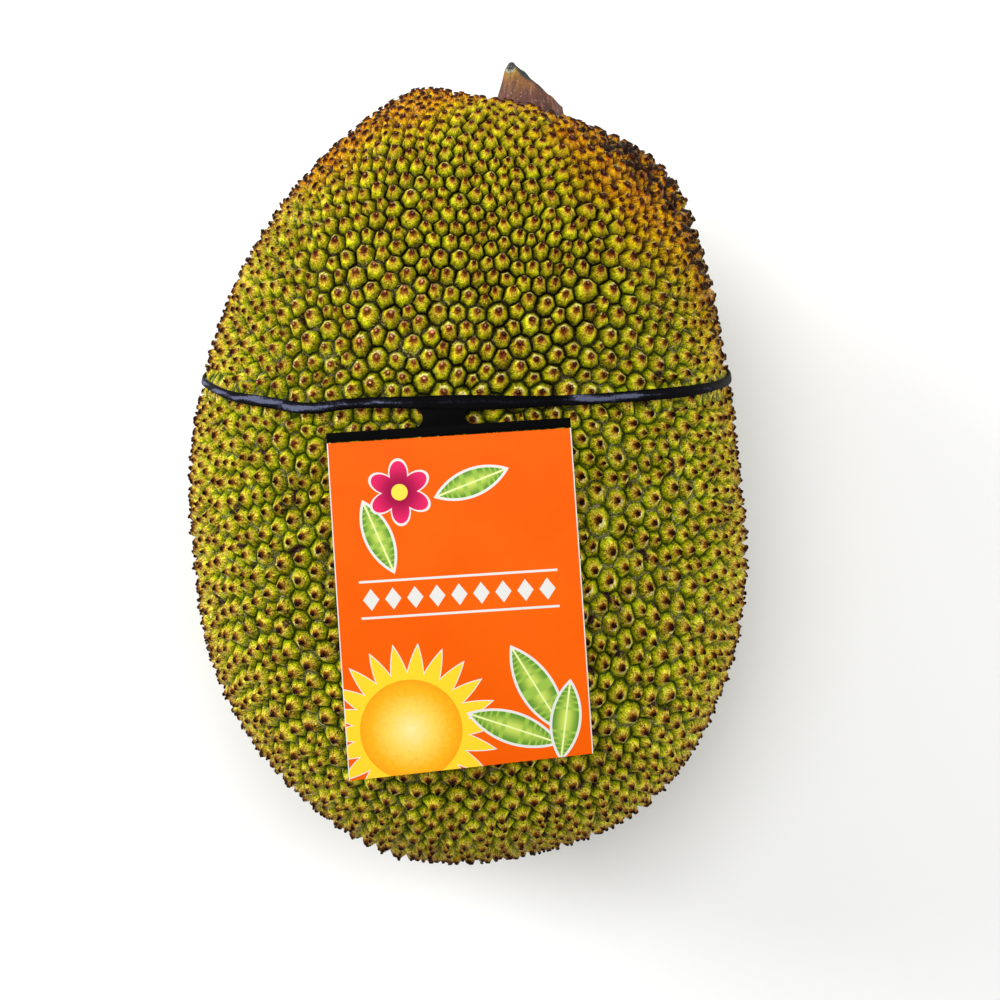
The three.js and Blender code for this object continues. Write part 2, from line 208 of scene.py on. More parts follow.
@dataclass(frozen=True)
class Envelope:
    """The smooth skin through the tips of the spines, measured from the fruit's middle.

    The level reach is in millimetres and goes round the fruit in even steps from +X.
    """

    level_reach: Row = (
        126, 128, 143, 158, 165, 163, 147, 134, 126,
        126, 132, 149, 166, 181, 180, 175, 156, 138,
    )
    top_reach: float = 0.1175
    base_reach: float = 0.1172
    top_fullness: float = 2.4
    base_fullness: float = 2.0
    lean: float = 0.19
    swellings: tuple[Swelling, ...] = (
        Swelling(96, 4, 0.008, 0.14),
        Swelling(58, 10, 0.004, 0.2),
        Swelling(51, 4, 0.005, 0.21),
        Swelling(109, 4, 0.0035, 0.26),
        Swelling(15, 4, 0.0016, 0.18),
        Swelling(79, 0, -0.012, 0.16),
    )
    band_y: float = 0.039
    band_slope: float = -0.169
    band_curve: float = 0.44
    band_waves: tuple[Wave, ...] = (
        Wave(-0.118, 0.0045, 0.015),
        Wave(-0.066, -0.0028, 0.015),
        Wave(0.088, 0.0026, 0.042),
        Wave(0.122, 0.003, 0.024),
    )
    press_depth: float = 0.002
    press_spread: float = 0.007
    press_tightness: float = 1.63
    tight_beyond: Pair = (0.05, 0.09)
    cover_spread: float = 0.0034
    cover_beyond: Pair = (0.09, 0.112)
    normal_step: float = 0.01
    steep: float = 0.9
    far_out: float = 0.4
    halvings: int = 30
    seat_rounds: int = 8

    def level(self, angles: Array) -> Array:
        """Gives the reach of the level outline at angles in radians, as a smooth closed curve."""
        knots = np.array(self.level_reach) * MM
        place = np.mod(angles / math.tau, 1) * len(knots)
        first = np.floor(place).astype(int)
        t = place - first
        a, b, c, d = (knots[(first + step) % len(knots)] for step in (-1, 0, 1, 2))
        return b + 0.5 * t * (c - a + t * (2 * a - 5 * b + 4 * c - d + t * (3 * (b - c) + d - a)))

    def band_course(self, x: Array, height: Array) -> Array:
        """Gives the band's place along Y, by places across and heights above the middle."""
        y = self.band_y + self.band_slope * height + self.band_curve * height * height
        for wave in self.band_waves:
            y = y + wave.shift * bell(x - wave.middle, wave.spread)
        return y

    def reach(self, directions: Array) -> Array:
        """Gives the envelope's reach in each direction.

        Args:
            directions: Unit vectors from the middle, before the lean.

        Returns:
            The distances, with the band's groove pressed in.
        """
        upper = directions[:, 2] > 0
        power = np.where(upper, self.top_fullness, self.base_fullness)
        flat = np.hypot(directions[:, 0], directions[:, 1])
        level = flat / self.level(np.arctan2(directions[:, 1], directions[:, 0]))
        upright = np.abs(directions[:, 2]) / np.where(upper, self.top_reach, self.base_reach)
        reach = (level**power + upright**power) ** (-1 / power)
        for swelling in self.swellings:
            apart = directions - heading_vector(swelling.heading, swelling.rise)
            reach = reach + swelling.height * bell(np.linalg.norm(apart, axis=1), swelling.spread)
        height = reach * directions[:, 2]
        x = FRUIT_MIDDLE[0] + reach * directions[:, 0]
        y = FRUIT_MIDDLE[1] + reach * directions[:, 1] + self.lean * height
        off = y - self.band_course(x, height)
        soft = bell(off, self.press_spread)
        tight = bell(off, self.press_spread / self.press_tightness, 4)
        side = smooth_between(*self.tight_beyond, np.abs(x))
        return reach - self.press_depth * (soft + (tight - soft) * side)

    def under_band(self, points: Array) -> Array:
        """Gives 1 at points that lie under the band where it bends round the fruit's sides."""
        course = self.band_course(points[:, 0], points[:, 2] - FRUIT_MIDDLE[2])
        cover = bell(points[:, 1] - course, self.cover_spread, 4)
        return cover * smooth_between(*self.cover_beyond, np.abs(points[:, 0]))

    def points(self, directions: Array) -> Array:
        """Gives the envelope's points in the directions."""
        offsets = directions * self.reach(directions)[:, None]
        offsets[:, 1] += self.lean * offsets[:, 2]
        return offsets + FRUIT_MIDDLE

    def _offsets(self, points: Array) -> Array:
        """Gives how points lie from the middle, with the lean taken out."""
        offsets = points - FRUIT_MIDDLE
        offsets[:, 1] -= self.lean * offsets[:, 2]
        return offsets

    def directions(self, points: Array) -> Array:
        """Gives the directions in which points are seen from the middle."""
        return unit(self._offsets(points))

    def normals(self, directions: Array) -> Array:
        """Gives the outward unit vectors square to the envelope."""
        is_steep = np.abs(directions[:, 2:]) > self.steep
        side = unit(np.cross(np.where(is_steep, (1.0, 0.0, 0.0), (0.0, 0.0, 1.0)), directions))
        up = np.cross(directions, side)
        here = self.points(directions)
        along = self.points(unit(directions + self.normal_step * side)) - here
        above = self.points(unit(directions + self.normal_step * up)) - here
        return unit(np.cross(along, above))

    def distance_out(self, starts: Array, rays: Array) -> Array:
        """Finds how far rays from inner points run before they leave the envelope."""
        near, far = np.zeros(len(starts)), np.full(len(starts), self.far_out)
        for _ in range(self.halvings):
            half = (near + far) / 2
            offsets = self._offsets(starts + rays * half[:, None])
            inside = np.linalg.norm(offsets, axis=1) < self.reach(unit(offsets))
            near, far = np.where(inside, half, near), np.where(inside, far, half)
        return near

    def band_seats(self, angles: Array) -> Array:
        """Gives points of the band's course at angles round the fruit from its crown."""
        rays = np.stack([np.sin(angles), np.zeros_like(angles), np.cos(angles)], axis=1)
        starts = np.tile(np.array(FRUIT_MIDDLE), (len(angles), 1))
        seats = starts + rays * self.top_reach
        for _ in range(self.seat_rounds):
            starts[:, 1] = self.band_course(seats[:, 0], seats[:, 2] - FRUIT_MIDDLE[2])
            seats = starts + rays * self.distance_out(starts, rays)[:, None]
        return seats


# ---- finishes


@dataclass(frozen=True)
class Signal:
    """A number, place or colour that flows from one node of a material to others."""

    sheet: "NodeSheet"
    socket: bpy.types.NodeSocket

    def step(self, operation: str, other: object = 0.0) -> "Signal":
        """Does one step of arithmetic."""
        return self.sheet.add("Math", {0: self, 1: other}, operation=operation)

    def __add__(self, other: object) -> "Signal":
        """Adds a number."""
        return self.step("ADD", other)

    __radd__ = __add__

    def __sub__(self, other: object) -> "Signal":
        """Takes a number away."""
        return self.step("SUBTRACT", other)

    def __rsub__(self, other: object) -> "Signal":
        """Takes it away from a number."""
        return self.sheet.add("Math", {0: other, 1: self}, operation="SUBTRACT")

    def __mul__(self, other: object) -> "Signal":
        """Multiplies by a number."""
        return self.step("MULTIPLY", other)

    def __truediv__(self, other: object) -> "Signal":
        """Divides by a number."""
        return self.step("DIVIDE", other)

    def __abs__(self) -> "Signal":
        """Drops its sign."""
        return self.step("ABSOLUTE")

    def vector(self, operation: str, other: object, output: str = "Vector") -> "Signal":
        """Does one step of vector arithmetic."""
        return self.sheet.add("VectorMath", {0: self, 1: other}, output, operation=operation)

    def axis(self, number: int) -> "Signal":
        """Reads a place's X, Y or Z, by its number from 0."""
        return self.sheet.add("SeparateXYZ", {0: self}, number)

    def stretched(self, scale: Spot) -> "Signal":
        """Stretches a place, so that what is drawn by it is drawn out."""
        return self.sheet.add("Mapping", {"Vector": self, "Scale": scale})

    def noise(self, scale: float, detail: float, output: str = "Fac") -> "Signal":
        """Gives soft noise about 0.5 at a place."""
        return self.sheet.add("TexNoise", {"Vector": self, "Scale": scale, "Detail": detail}, output)

    def waver(self, amount: float) -> "Signal":
        """Turns noise about 0.5 into a shift about 0."""
        return (self - 0.5) * amount

    def rise(self, low: float, high: float) -> "Signal":
        """Rises smoothly from 0 to 1 as the number goes from low to high, or falls if low is higher."""
        inputs = {"Value": self, "From Min": low, "From Max": high}
        return self.sheet.add("MapRange", inputs, interpolation_type="SMOOTHSTEP")

    def under(self, limit: float, softness: float = 0.08) -> "Signal":
        """Gives 1 where the number is under a limit, with a fine soft edge."""
        return self.rise(limit + softness, limit - softness)

    def mix(self, first: object, second: object) -> "Signal":
        """Mixes two colours, with this much of the second."""
        return self.sheet.add("Mix", {0: self, 6: first, 7: second}, 2, data_type="RGBA")

    def ramp(self, *stops: tuple[float, int, int, int]) -> "Signal":
        """Runs through screen colours, each given as its place and its red, green and blue."""
        result = self.sheet.add("ValToRGB", {0: self})
        elements = result.socket.node.color_ramp.elements
        while len(elements) < len(stops):
            elements.new(0.5)
        for element, (at, *colour) in zip(elements, stops):
            element.position = at
            element.color = shade(*colour)
        return result


class NodeSheet:
    """The node tree of one material, filled step by step."""

    def __init__(self, name: str) -> None:
        """Makes an empty material with its Principled shader."""
        self.material = bpy.data.materials.new(name)
        self.material.use_nodes = True
        self.tree = self.material.node_tree
        self.shader = self.tree.nodes["Principled BSDF"]

    def feed(self, socket: bpy.types.NodeSocket, source: object) -> None:
        """Links a socket to a signal, or sets its value."""
        if isinstance(source, Signal):
            self.tree.links.new(source.socket, socket)
        else:
            socket.default_value = source

    def add(self, kind: str, inputs: dict, output: int | str = 0, **settings: object) -> Signal:
        """Adds a node.

        Args:
            kind: The node's type, without its ShaderNode prefix.
            inputs: What feeds its sockets, by name or number.
            output: The output that is wanted, by name or number.
            settings: Its options.

        Returns:
            The signal from that output.
        """
        node = self.tree.nodes.new(f"ShaderNode{kind}")
        for name, value in settings.items():
            setattr(node, name, value)
        for socket, source in inputs.items():
            self.feed(node.inputs[socket], source)
        return Signal(self, node.outputs[output])

    def mark(self, name: str) -> Signal:
        """Reads a number stored on the piece."""
        return self.add("Attribute", {}, "Fac", attribute_name=name)

    def place(self) -> Signal:
        """Reads the object's coordinates."""
        return self.add("TexCoord", {}, "Object")

    def bump(self, height: Signal, depth: float) -> None:
        """Raises and sinks the skin by a height."""
        self.feed(self.shader.inputs["Normal"], self.add("Bump", {"Height": height, "Distance": depth}))

    def finish(self, colour: object, roughness: object, gloss: float) -> Material:
        """Feeds the rest of the shader and gives the finished material."""
        sources = {"Base Color": colour, "Roughness": roughness, "Specular IOR Level": gloss}
        for name, source in sources.items():
            self.feed(self.shader.inputs[name], source)
        return self.material


@dataclass(frozen=True)
class RindFinish:
    """Waxy rind: dark valleys with painted shade in the grooves between the domes, green and yellow streaked
    flanks, brown tips, ripe patches, and painted pale highlights behind the tips.
    """

    facet_scale: float = 1.5
    streak_scale: float = 5.0
    patch_scale: float = 36.0
    valley_shade_scale: float = 95.0
    blotch_scale: float = 110.0
    break_scale: float = 130.0
    crack_scale: float = 250.0
    crack_bend_scale: float = 420.0
    crack_bend: float = 0.004
    grain_scale: float = 560.0
    fleck_scale: float = 1500.0
    speck_scale: float = 2100.0
    tone_step: float = 41.0
    up_step: float = 0.7
    ring_shift: float = 0.58
    tip_shade_slant: float = -0.14
    highlight_on_domes: float = 0.14
    highlight_on_top: float = -0.12
    speck_strength: float = 0.6
    cone_contrast: float = 0.3
    brightness: float = 0.985
    hue: float = 0.497
    saturation: float = 1.1

    def _flanks(self, share: Signal, dome: Signal) -> Signal:
        """Colours a spine from its valley to its tip."""
        coned = share.ramp(
            (0.0, 72, 84, 10), (0.1, 98, 114, 12), (0.26, 158, 160, 30), (0.46, 214, 200, 84),
            (0.6, 218, 190, 96), (0.72, 150, 94, 30), (0.84, 58, 24, 4), (1.0, 22, 9, 1),
        )
        # On the domes the near-black first stops are painted shade in the narrow grooves between them.
        domed = share.ramp(
            (0.0, 8, 4, 0), (0.08, 28, 16, 0), (0.14, 98, 98, 4), (0.3, 154, 154, 18),
            (0.5, 214, 198, 78), (0.64, 210, 172, 82), (0.76, 142, 84, 30), (1.0, 66, 28, 12),
        )
        return dome.mix(coned, domed)

    def _ripen(self, sheet: NodeSheet, skin: Signal, share: Signal, shifts: Signal) -> Signal:
        """Turns the skin orange where it is ripe, with wide dark marks about the tips."""
        ripe = share.ramp(
            (0.0, 92, 48, 8), (0.2, 174, 118, 18), (0.44, 232, 174, 42), (0.58, 220, 142, 42),
            (0.69, 100, 46, 18), (1.0, 36, 15, 10),
        )
        return (sheet.mark("ripe") + shifts).rise(0.15, 0.85).mix(skin, ripe)

    def _paint_rim_highlight(self, sheet: NodeSheet, skin: Signal, share: Signal, broken: Signal) -> Signal:
        """Paints a thin pale highlight behind the tip, on the side that it leans to: a painted rim of light,
        shifted on the domes and towards the stalk end.
        """
        upper = sheet.place().axis(1).rise(0.05, 0.1)
        place = share + sheet.mark("dome") * self.highlight_on_domes + upper * self.highlight_on_top
        side = (sheet.mark("outer") + broken.waver(1.4)).rise(0.15, 0.5)
        drawn = place.rise(0.48, 0.58) * place.rise(0.84, 0.74) * side
        return drawn.mix(skin, shade(240, 226, 150))

    def _cracks(self, sheet: NodeSheet, place: Signal, broken: Signal) -> Signal:
        """Gives 1 along fine broken cracks in the skin."""
        bends = place.noise(self.crack_bend_scale, 2.0, "Color")
        inputs = {0: bends, 1: (self.crack_bend,) * 3, 2: place}
        bent = sheet.add("VectorMath", inputs, operation="MULTIPLY_ADD")
        cells = {"Vector": bent, "Scale": self.crack_scale}
        edge = sheet.add("TexVoronoi", cells, "Distance", feature="DISTANCE_TO_EDGE")
        return edge.rise(0.06, 0.025) * broken.rise(0.48, 0.54)

    def _cork_shade_and_flecks(self, sheet: NodeSheet, place: Signal, skin: Signal, share: Signal, grain: Signal) -> Signal:
        """Adds pale corky lines between the spines, purple-brown painted shade in patches low in the
        valleys, and fine pale flecks.
        """
        narrow = (share + grain.waver(0.16)).rise(0.07, 0.03)
        lines = narrow.step("MAXIMUM", self._cracks(sheet, place, grain))
        low = (share + grain.waver(0.8)).rise(0.6, 0.3)
        pointed = sheet.mark("dome").rise(1.25, 0.3)
        spread = pointed.step("MAXIMUM", sheet.mark("corky"))
        cork = lines * place.noise(self.break_scale, 3.0).rise(0.5, 0.6) * (low * spread)
        skin = cork.mix(skin, shade(196, 184, 138))
        # Painted shade: purple-brown patches low in the valleys of the pointed spines.
        valley_shade = place.noise(self.valley_shade_scale, 5.0).rise(0.61, 0.67) * pointed
        skin = (valley_shade * low).mix(skin, shade(66, 42, 40))
        speck = place.noise(self.speck_scale, 1.0).rise(0.7, 0.78)
        return (speck * self.speck_strength).mix(skin, shade(226, 218, 178))

    def make(self) -> Material:
        """Builds the material."""
        sheet = NodeSheet("rind_skin")
        place, tone, up, dome = sheet.place(), sheet.mark("tone"), sheet.mark("share"), sheet.mark("dome")
        layer = tone * self.tone_step + up * self.up_step
        about = sheet.add("CombineXYZ", {0: sheet.mark("turn_a"), 1: sheet.mark("turn_b"), 2: layer})
        facet, streak = about.noise(self.facet_scale, 2.0), about.noise(self.streak_scale, 3.0)
        patch, blotch = place.noise(self.patch_scale, 3.0), place.noise(self.blotch_scale, 3.0)
        grain, fleck = place.noise(self.grain_scale, 3.0), place.noise(self.fleck_scale, 2.0)
        shift = grain.waver(0.5) + facet.waver(0.35)
        # Partly painted shade: besides the brown of the dried skin, the brown about each tip reaches further
        # on the side away from its lean, as the tip's shadow.
        share = up + shift * self.ring_shift + sheet.mark("outer") * up * self.tip_shade_slant
        skin = self._flanks(share, dome)
        skin = self._ripen(sheet, skin, share, patch.waver(0.9) + shift)
        # Painted highlight: thin pale rims behind the tips.
        skin = self._paint_rim_highlight(sheet, skin, share, grain)
        skin = self._cork_shade_and_flecks(sheet, place, skin, share, grain)
        # Dark brown stains; along the fruit's +X side the same colour is painted shade.
        stain_and_shade = sheet.mark("stain_and_shade") + blotch.waver(1.5) + shift
        skin = stain_and_shade.rise(0.45, 0.7).mix(skin, shade(44, 22, 14))
        contrast = 1.0 + (1.0 - dome) * self.cone_contrast
        specks = (streak.waver(1.05) + fleck.waver(2.7)) * contrast
        value = self.brightness + facet.waver(1.8) + specks + blotch.waver(0.8) + tone.waver(0.2)
        hue = self.hue + facet.waver(0.1) + blotch.waver(0.07) + tone.waver(0.01)
        inputs = {"Hue": hue, "Saturation": self.saturation, "Value": value, "Color": skin}
        height = grain.waver(1.2) + streak.waver(0.8) + facet.waver(0.8) + fleck.waver(0.6)
        sheet.bump(height, depth=0.0016)
        return sheet.finish(sheet.add("HueSaturation", inputs), roughness=0.4 + grain.waver(0.5), gloss=0.12)


@dataclass(frozen=True)
class TipFinish:
    """Dried tips of the spines: near black on points, a brown ring about a tan heart on domes."""

    grain_scale: float = 1100.0
    tone_scale: float = 260.0

    def make(self) -> Material:
        """Builds the material."""
        sheet = NodeSheet("dried_tips")
        place = sheet.place()
        grain = place.noise(self.grain_scale, 2.0)
        share = sheet.mark("share") + grain.waver(0.7)
        black = share.ramp((0.0, 84, 50, 10), (0.3, 30, 12, 2), (0.75, 14, 5, 1), (1.0, 46, 23, 10))
        ringed = share.ramp(
            (0.0, 104, 56, 14), (0.26, 54, 19, 7), (0.6, 42, 13, 6), (0.8, 96, 46, 24), (1.0, 168, 116, 72)
        )
        tan = share.ramp(
            (0.0, 150, 90, 30), (0.3, 104, 44, 22), (0.6, 122, 62, 38), (0.8, 186, 126, 88),
            (1.0, 206, 152, 112),
        )
        skin = sheet.mark("dome").mix(black, ringed)
        skin = sheet.mark("corky").rise(0.3, 0.8).mix(skin, tan)
        # Painted highlight: a pale rim at the foot of each tip, on the side that it leans to.
        rim_highlight = (sheet.mark("outer") + grain.waver(1.6)).rise(0.1, 0.5) * share.rise(0.38, 0.28)
        skin = (rim_highlight * 0.8).mix(skin, shade(232, 214, 130))
        value = 1.0 + sheet.mark("tone").waver(0.6) + place.noise(self.tone_scale, 2.0).waver(2.4)
        sheet.bump(grain.waver(1.0), depth=0.0006)
        tinted = sheet.add("HueSaturation", {"Value": value, "Color": skin})
        return sheet.finish(tinted, roughness=0.6, gloss=0.04)


@dataclass(frozen=True)
class BarkFinish:
    """Rough stalk bark in fine lines, brown below and ochre above, with a dark, dried cut."""

    cut_at: Spot
    cut_way: Spot
    line_scale: float = 330.0
    line_stretch: Spot = (1.0, 0.16, 1.0)
    patch_scale: float = 110.0
    tint_scale: float = 150.0
    speck_scale: float = 850.0
    edge_width: float = 0.0024
    edge_waver: float = 0.006

    def _edge(self, sheet: NodeSheet, place: Signal, patch: Signal) -> Signal:
        """Gives 1 along the upper part of the cut's edge, where the bark has dried dark."""
        beyond = place.vector("SUBTRACT", self.cut_at).vector("DOT_PRODUCT", self.cut_way, "Value")
        near = (patch.waver(self.edge_waver) - beyond).rise(self.edge_width, self.edge_width * 0.3)
        return near * sheet.mark("along").rise(0.6, 0.86)

    def make(self) -> Material:
        """Builds the material."""
        sheet = NodeSheet("stalk_bark")
        place = sheet.place()
        lines = place.stretched(self.line_stretch).noise(self.line_scale, 4.0)
        patch, speck = place.noise(self.patch_scale, 4.0), place.noise(self.speck_scale, 2.0)
        along = sheet.mark("along") + patch.waver(0.26)
        lower = along.rise(0.94, 0.84)
        bark = along.ramp(
            (0.0, 48, 34, 32), (0.5, 72, 50, 46), (0.68, 100, 64, 52), (0.8, 130, 88, 42),
            (0.88, 150, 114, 28), (0.935, 142, 110, 36), (0.955, 150, 156, 134), (0.975, 44, 56, 56),
        )
        tint = place.noise(self.tint_scale, 3.0).rise(0.42, 0.62) * lower
        bark = (tint * 0.45).mix(bark, shade(124, 68, 54))
        bark = (lines.rise(0.5, 0.66) * 0.7).mix(bark, shade(76, 46, 40))
        pale = lines.rise(0.42, 0.32) * lower
        bark = (pale * 0.45).mix(bark, shade(160, 114, 82))
        bark = (speck.rise(0.64, 0.72) * 0.7).mix(bark, shade(206, 176, 150))
        bark = self._edge(sheet, place, patch).mix(bark, shade(46, 54, 52))
        cut = speck.rise(0.35, 0.65).mix(shade(60, 48, 36), shade(112, 92, 66))
        sheet.bump(lines.waver(1.0) + speck.waver(0.4), depth=0.0014)
        return sheet.finish(sheet.mark("cut").mix(bark, cut), roughness=0.7, gloss=0.3)


@dataclass(frozen=True)
class RubberFinish:
    """Black rubber with a painted grey-blue sheen: streaks of painted highlight along its crown, left and
    right of the neck.
    """

    sheen_streak_scale: float = 340.0
    sheen_streak_stretch: Spot = (0.14, 1.0, 0.14)
    scuff_scale: float = 900.0
    left_start: Pair = (-0.04, -0.065)
    right_start: Pair = (0.035, 0.055)
    right_end: Pair = (0.09, 0.07)
    kept_black: float = -0.35

    def make(self) -> Material:
        """Builds the material."""
        sheet = NodeSheet("band_rubber")
        place = sheet.place()
        sheen_streaks = place.stretched(self.sheen_streak_stretch).noise(self.sheen_streak_scale, 3.0)
        scuff = place.noise(self.scuff_scale, 3.0)
        across = place.axis(0)
        right = across.rise(*self.right_start) * across.rise(*self.right_end)
        sheen_span = across.rise(*self.left_start).step("MAXIMUM", right)
        black = (1.0 - sheen_span) * self.kept_black
        # Painted sheen: on the crown, broken up by streaks and scuffs and kept to the spans beside the neck,
        # the rubber is painted grey-blue as highlight; elsewhere it stays black.
        painted_sheen = sheet.mark("crown") + sheen_streaks.waver(2.2) + scuff.waver(0.7) + black
        skin = painted_sheen.ramp((0.35, 5, 5, 6), (0.7, 14, 14, 19), (0.86, 38, 39, 52), (1.0, 84, 88, 110))
        sheet.bump(scuff.waver(1.0) + sheen_streaks.waver(0.6), depth=0.0002)
        return sheet.finish(skin, roughness=0.55 + sheen_streaks.waver(0.4), gloss=0.02)


@dataclass(frozen=True)
class Leaf:
    """A printed almond-shaped leaf: its middle, half length, half width, and turn in degrees."""

    x: float
    y: float
    length: float
    width: float
    turn: float

    def arcs(self) -> tuple[float, Spot, Spot]:
        """Gives the radius and the two middles of the arcs whose overlap is the leaf."""
        radius = (self.length**2 + self.width**2) / (2 * self.width)
        off = radius - self.width
        turn = math.radians(self.turn)
        side = (-math.sin(turn) * off, math.cos(turn) * off)
        return radius, (self.x + side[0], self.y + side[1], 0), (self.x - side[0], self.y - side[1], 0)


@dataclass(frozen=True)
class PrintFinish:
    """Coated card printed in flat colours: a sun, leaves, a flower and a row of diamonds on orange.

    Places on the card are in millimetres, across from its middle and down from its top edge.
    """

    orange: Colour = (0.82, 0.098, 0.0, 1.0)
    deep_orange: Colour = (0.84, 0.114, 0.001, 1.0)
    white: Colour = (0.72, 0.71, 0.67, 1.0)
    sun_at: Spot = (-24.0, 122.0, 0.0)
    sun_radius: float = 24.0
    sun_ring: float = 2.5
    ray_reach: float = 12.0
    ray_count: int = 22
    leaves: tuple[Leaf, ...] = (
        Leaf(30.0, 108.0, 20.0, 6.5, 62.0),
        Leaf(19.0, 124.0, 19.0, 6.0, 22.0),
        Leaf(41.0, 122.0, 16.0, 5.5, 100.0),
        Leaf(8.0, 20.0, 15.0, 5.0, -18.0),
        Leaf(-32.0, 40.0, 15.0, 5.0, 70.0),
    )
    vein: float = 0.7
    rib_pitch: float = 0.9
    bloom_at: Spot = (-22.0, 22.0, 0.0)
    bloom_radius: float = 13.0
    red_from: float = 3.0
    heart_radius: float = 3.4
    petals: int = 6
    petal_depth: float = 0.45
    rim: float = 1.1
    row_down: float = 66.0
    row_reach: float = 41.4
    diamond_size: float = 4.6
    diamond_slope: float = 1.35
    line_off: float = 7.6
    line_half: float = 0.5
    half_width: float = 50.75
    widening: float = 0.0073
    bare_edge: float = 0.45
    wear_scale: float = 420.0
    sheen_scale: float = 30.0

    def _form(self, skin: Signal, distance: Signal, limit: float, colour: Signal | Colour) -> Signal:
        """Prints a form with a white rim, out to a limit of a distance."""
        skin = distance.under(limit + self.rim).mix(skin, self.white)
        return distance.under(limit).mix(skin, colour)

    def _round(self, spot: Signal, middle: Spot) -> tuple[Signal, Signal]:
        """Gives how far spots of the card are from a middle, and their turn about it in radians."""
        away = spot.vector("SUBTRACT", middle)
        return spot.vector("DISTANCE", middle, "Value"), away.axis(0).step("ARCTAN2", away.axis(1))

    def _leaf(self, spot: Signal, skin: Signal, leaf: Leaf) -> Signal:
        """Prints one leaf over the colours so far."""
        radius, one, other = leaf.arcs()
        near, far = spot.vector("DISTANCE", one, "Value"), spot.vector("DISTANCE", other, "Value")
        reach = near.step("MAXIMUM", far)
        ribs = (near + far).step("PINGPONG", self.rib_pitch)
        green = reach.rise(radius - leaf.width, radius).mix(shade(196, 214, 92), shade(92, 142, 44))
        green = ribs.rise(0.5, 0.7).mix(green, shade(148, 184, 70))
        green = abs(near - far).under(self.vein).mix(green, shade(226, 236, 160))
        return self._form(skin, reach, radius, green)

    def _sun(self, spot: Signal, skin: Signal) -> Signal:
        """Prints the sun with its rays over the colours so far."""
        reach, turn = self._round(spot, self.sun_at)
        ray = (turn / math.tau * self.ray_count).step("PINGPONG", 0.5) * (2 * self.ray_reach)
        skin = self._form(skin, reach - ray, self.sun_radius, shade(255, 206, 44))
        face = ((reach + spot.noise(0.5, 3.0).waver(6.0)) / self.sun_radius).ramp(
            (0.0, 255, 226, 150), (0.4, 253, 206, 84), (0.7, 250, 176, 30), (1.0, 240, 148, 14)
        )
        return reach.under(self.sun_radius - self.sun_ring).mix(skin, face)

    def _bloom(self, spot: Signal, skin: Signal) -> Signal:
        """Prints a plain flower over the colours so far."""
        reach, turn = self._round(spot, self.bloom_at)
        petal = abs((turn * (self.petals / 2)).step("COSINE")) * (self.bloom_radius * self.petal_depth)
        red = reach.rise(self.red_from, self.bloom_radius).mix(shade(150, 10, 62), shade(222, 36, 96))
        skin = self._form(skin, reach - petal, self.bloom_radius * (1 - self.petal_depth), red)
        return reach.under(self.heart_radius).mix(skin, shade(255, 214, 70))

    def _diamonds(self, across: Signal, down: Signal, skin: Signal) -> Signal:
        """Prints a row of white diamonds between two thin lines."""
        level = abs(down - self.row_down)
        size = across.step("PINGPONG", self.diamond_size) * self.diamond_slope + level
        lines = abs(level - self.line_off).under(self.line_half)
        drawn = size.under(self.diamond_size).step("MAXIMUM", lines)
        return (drawn * abs(across).under(self.row_reach)).mix(skin, self.white)

    def make(self) -> Material:
        """Builds the material."""
        sheet = NodeSheet("card_print")
        place, across, down = sheet.place(), sheet.mark("across"), sheet.mark("down")
        spot = sheet.add("CombineXYZ", {0: across, 1: down})
        wear, sheen = place.noise(self.wear_scale, 5.0), place.noise(self.sheen_scale, 3.0)
        skin = self._sun(spot, sheen.rise(0.3, 0.7).mix(self.orange, self.deep_orange))
        for leaf in self.leaves:
            skin = self._leaf(spot, skin, leaf)
        skin = self._diamonds(across, down, self._bloom(spot, skin))
        side = abs(across) - down * self.widening
        bare = 1.0 - side.under(self.half_width - self.bare_edge)
        skin = wear.rise(0.76, 0.82).mix(bare.mix(skin, self.white), shade(190, 92, 40))
        sheet.bump(sheen.waver(1.0), depth=0.0004)
        return sheet.finish(skin, roughness=0.45 + sheen.waver(0.15), gloss=0.06)


# ---- the rind


@dataclass(frozen=True)
class Patch:
    """A coloured patch of the rind: a place, its radius and how strong it is."""

    x: float
    y: float
    z: float
    radius: float
    strength: float

    def at(self, places: Array) -> Array:
        """Gives how strong the patch is at places of the rind."""
        apart = np.linalg.norm(places - (self.x, self.y, self.z), axis=1)
        return self.strength * bell(apart, self.radius)


def covered(patches: tuple[Patch, ...], places: Array) -> Array:
    """Gives how strong patches are together at places of the rind."""
    return sum(patch.at(places) for patch in patches)


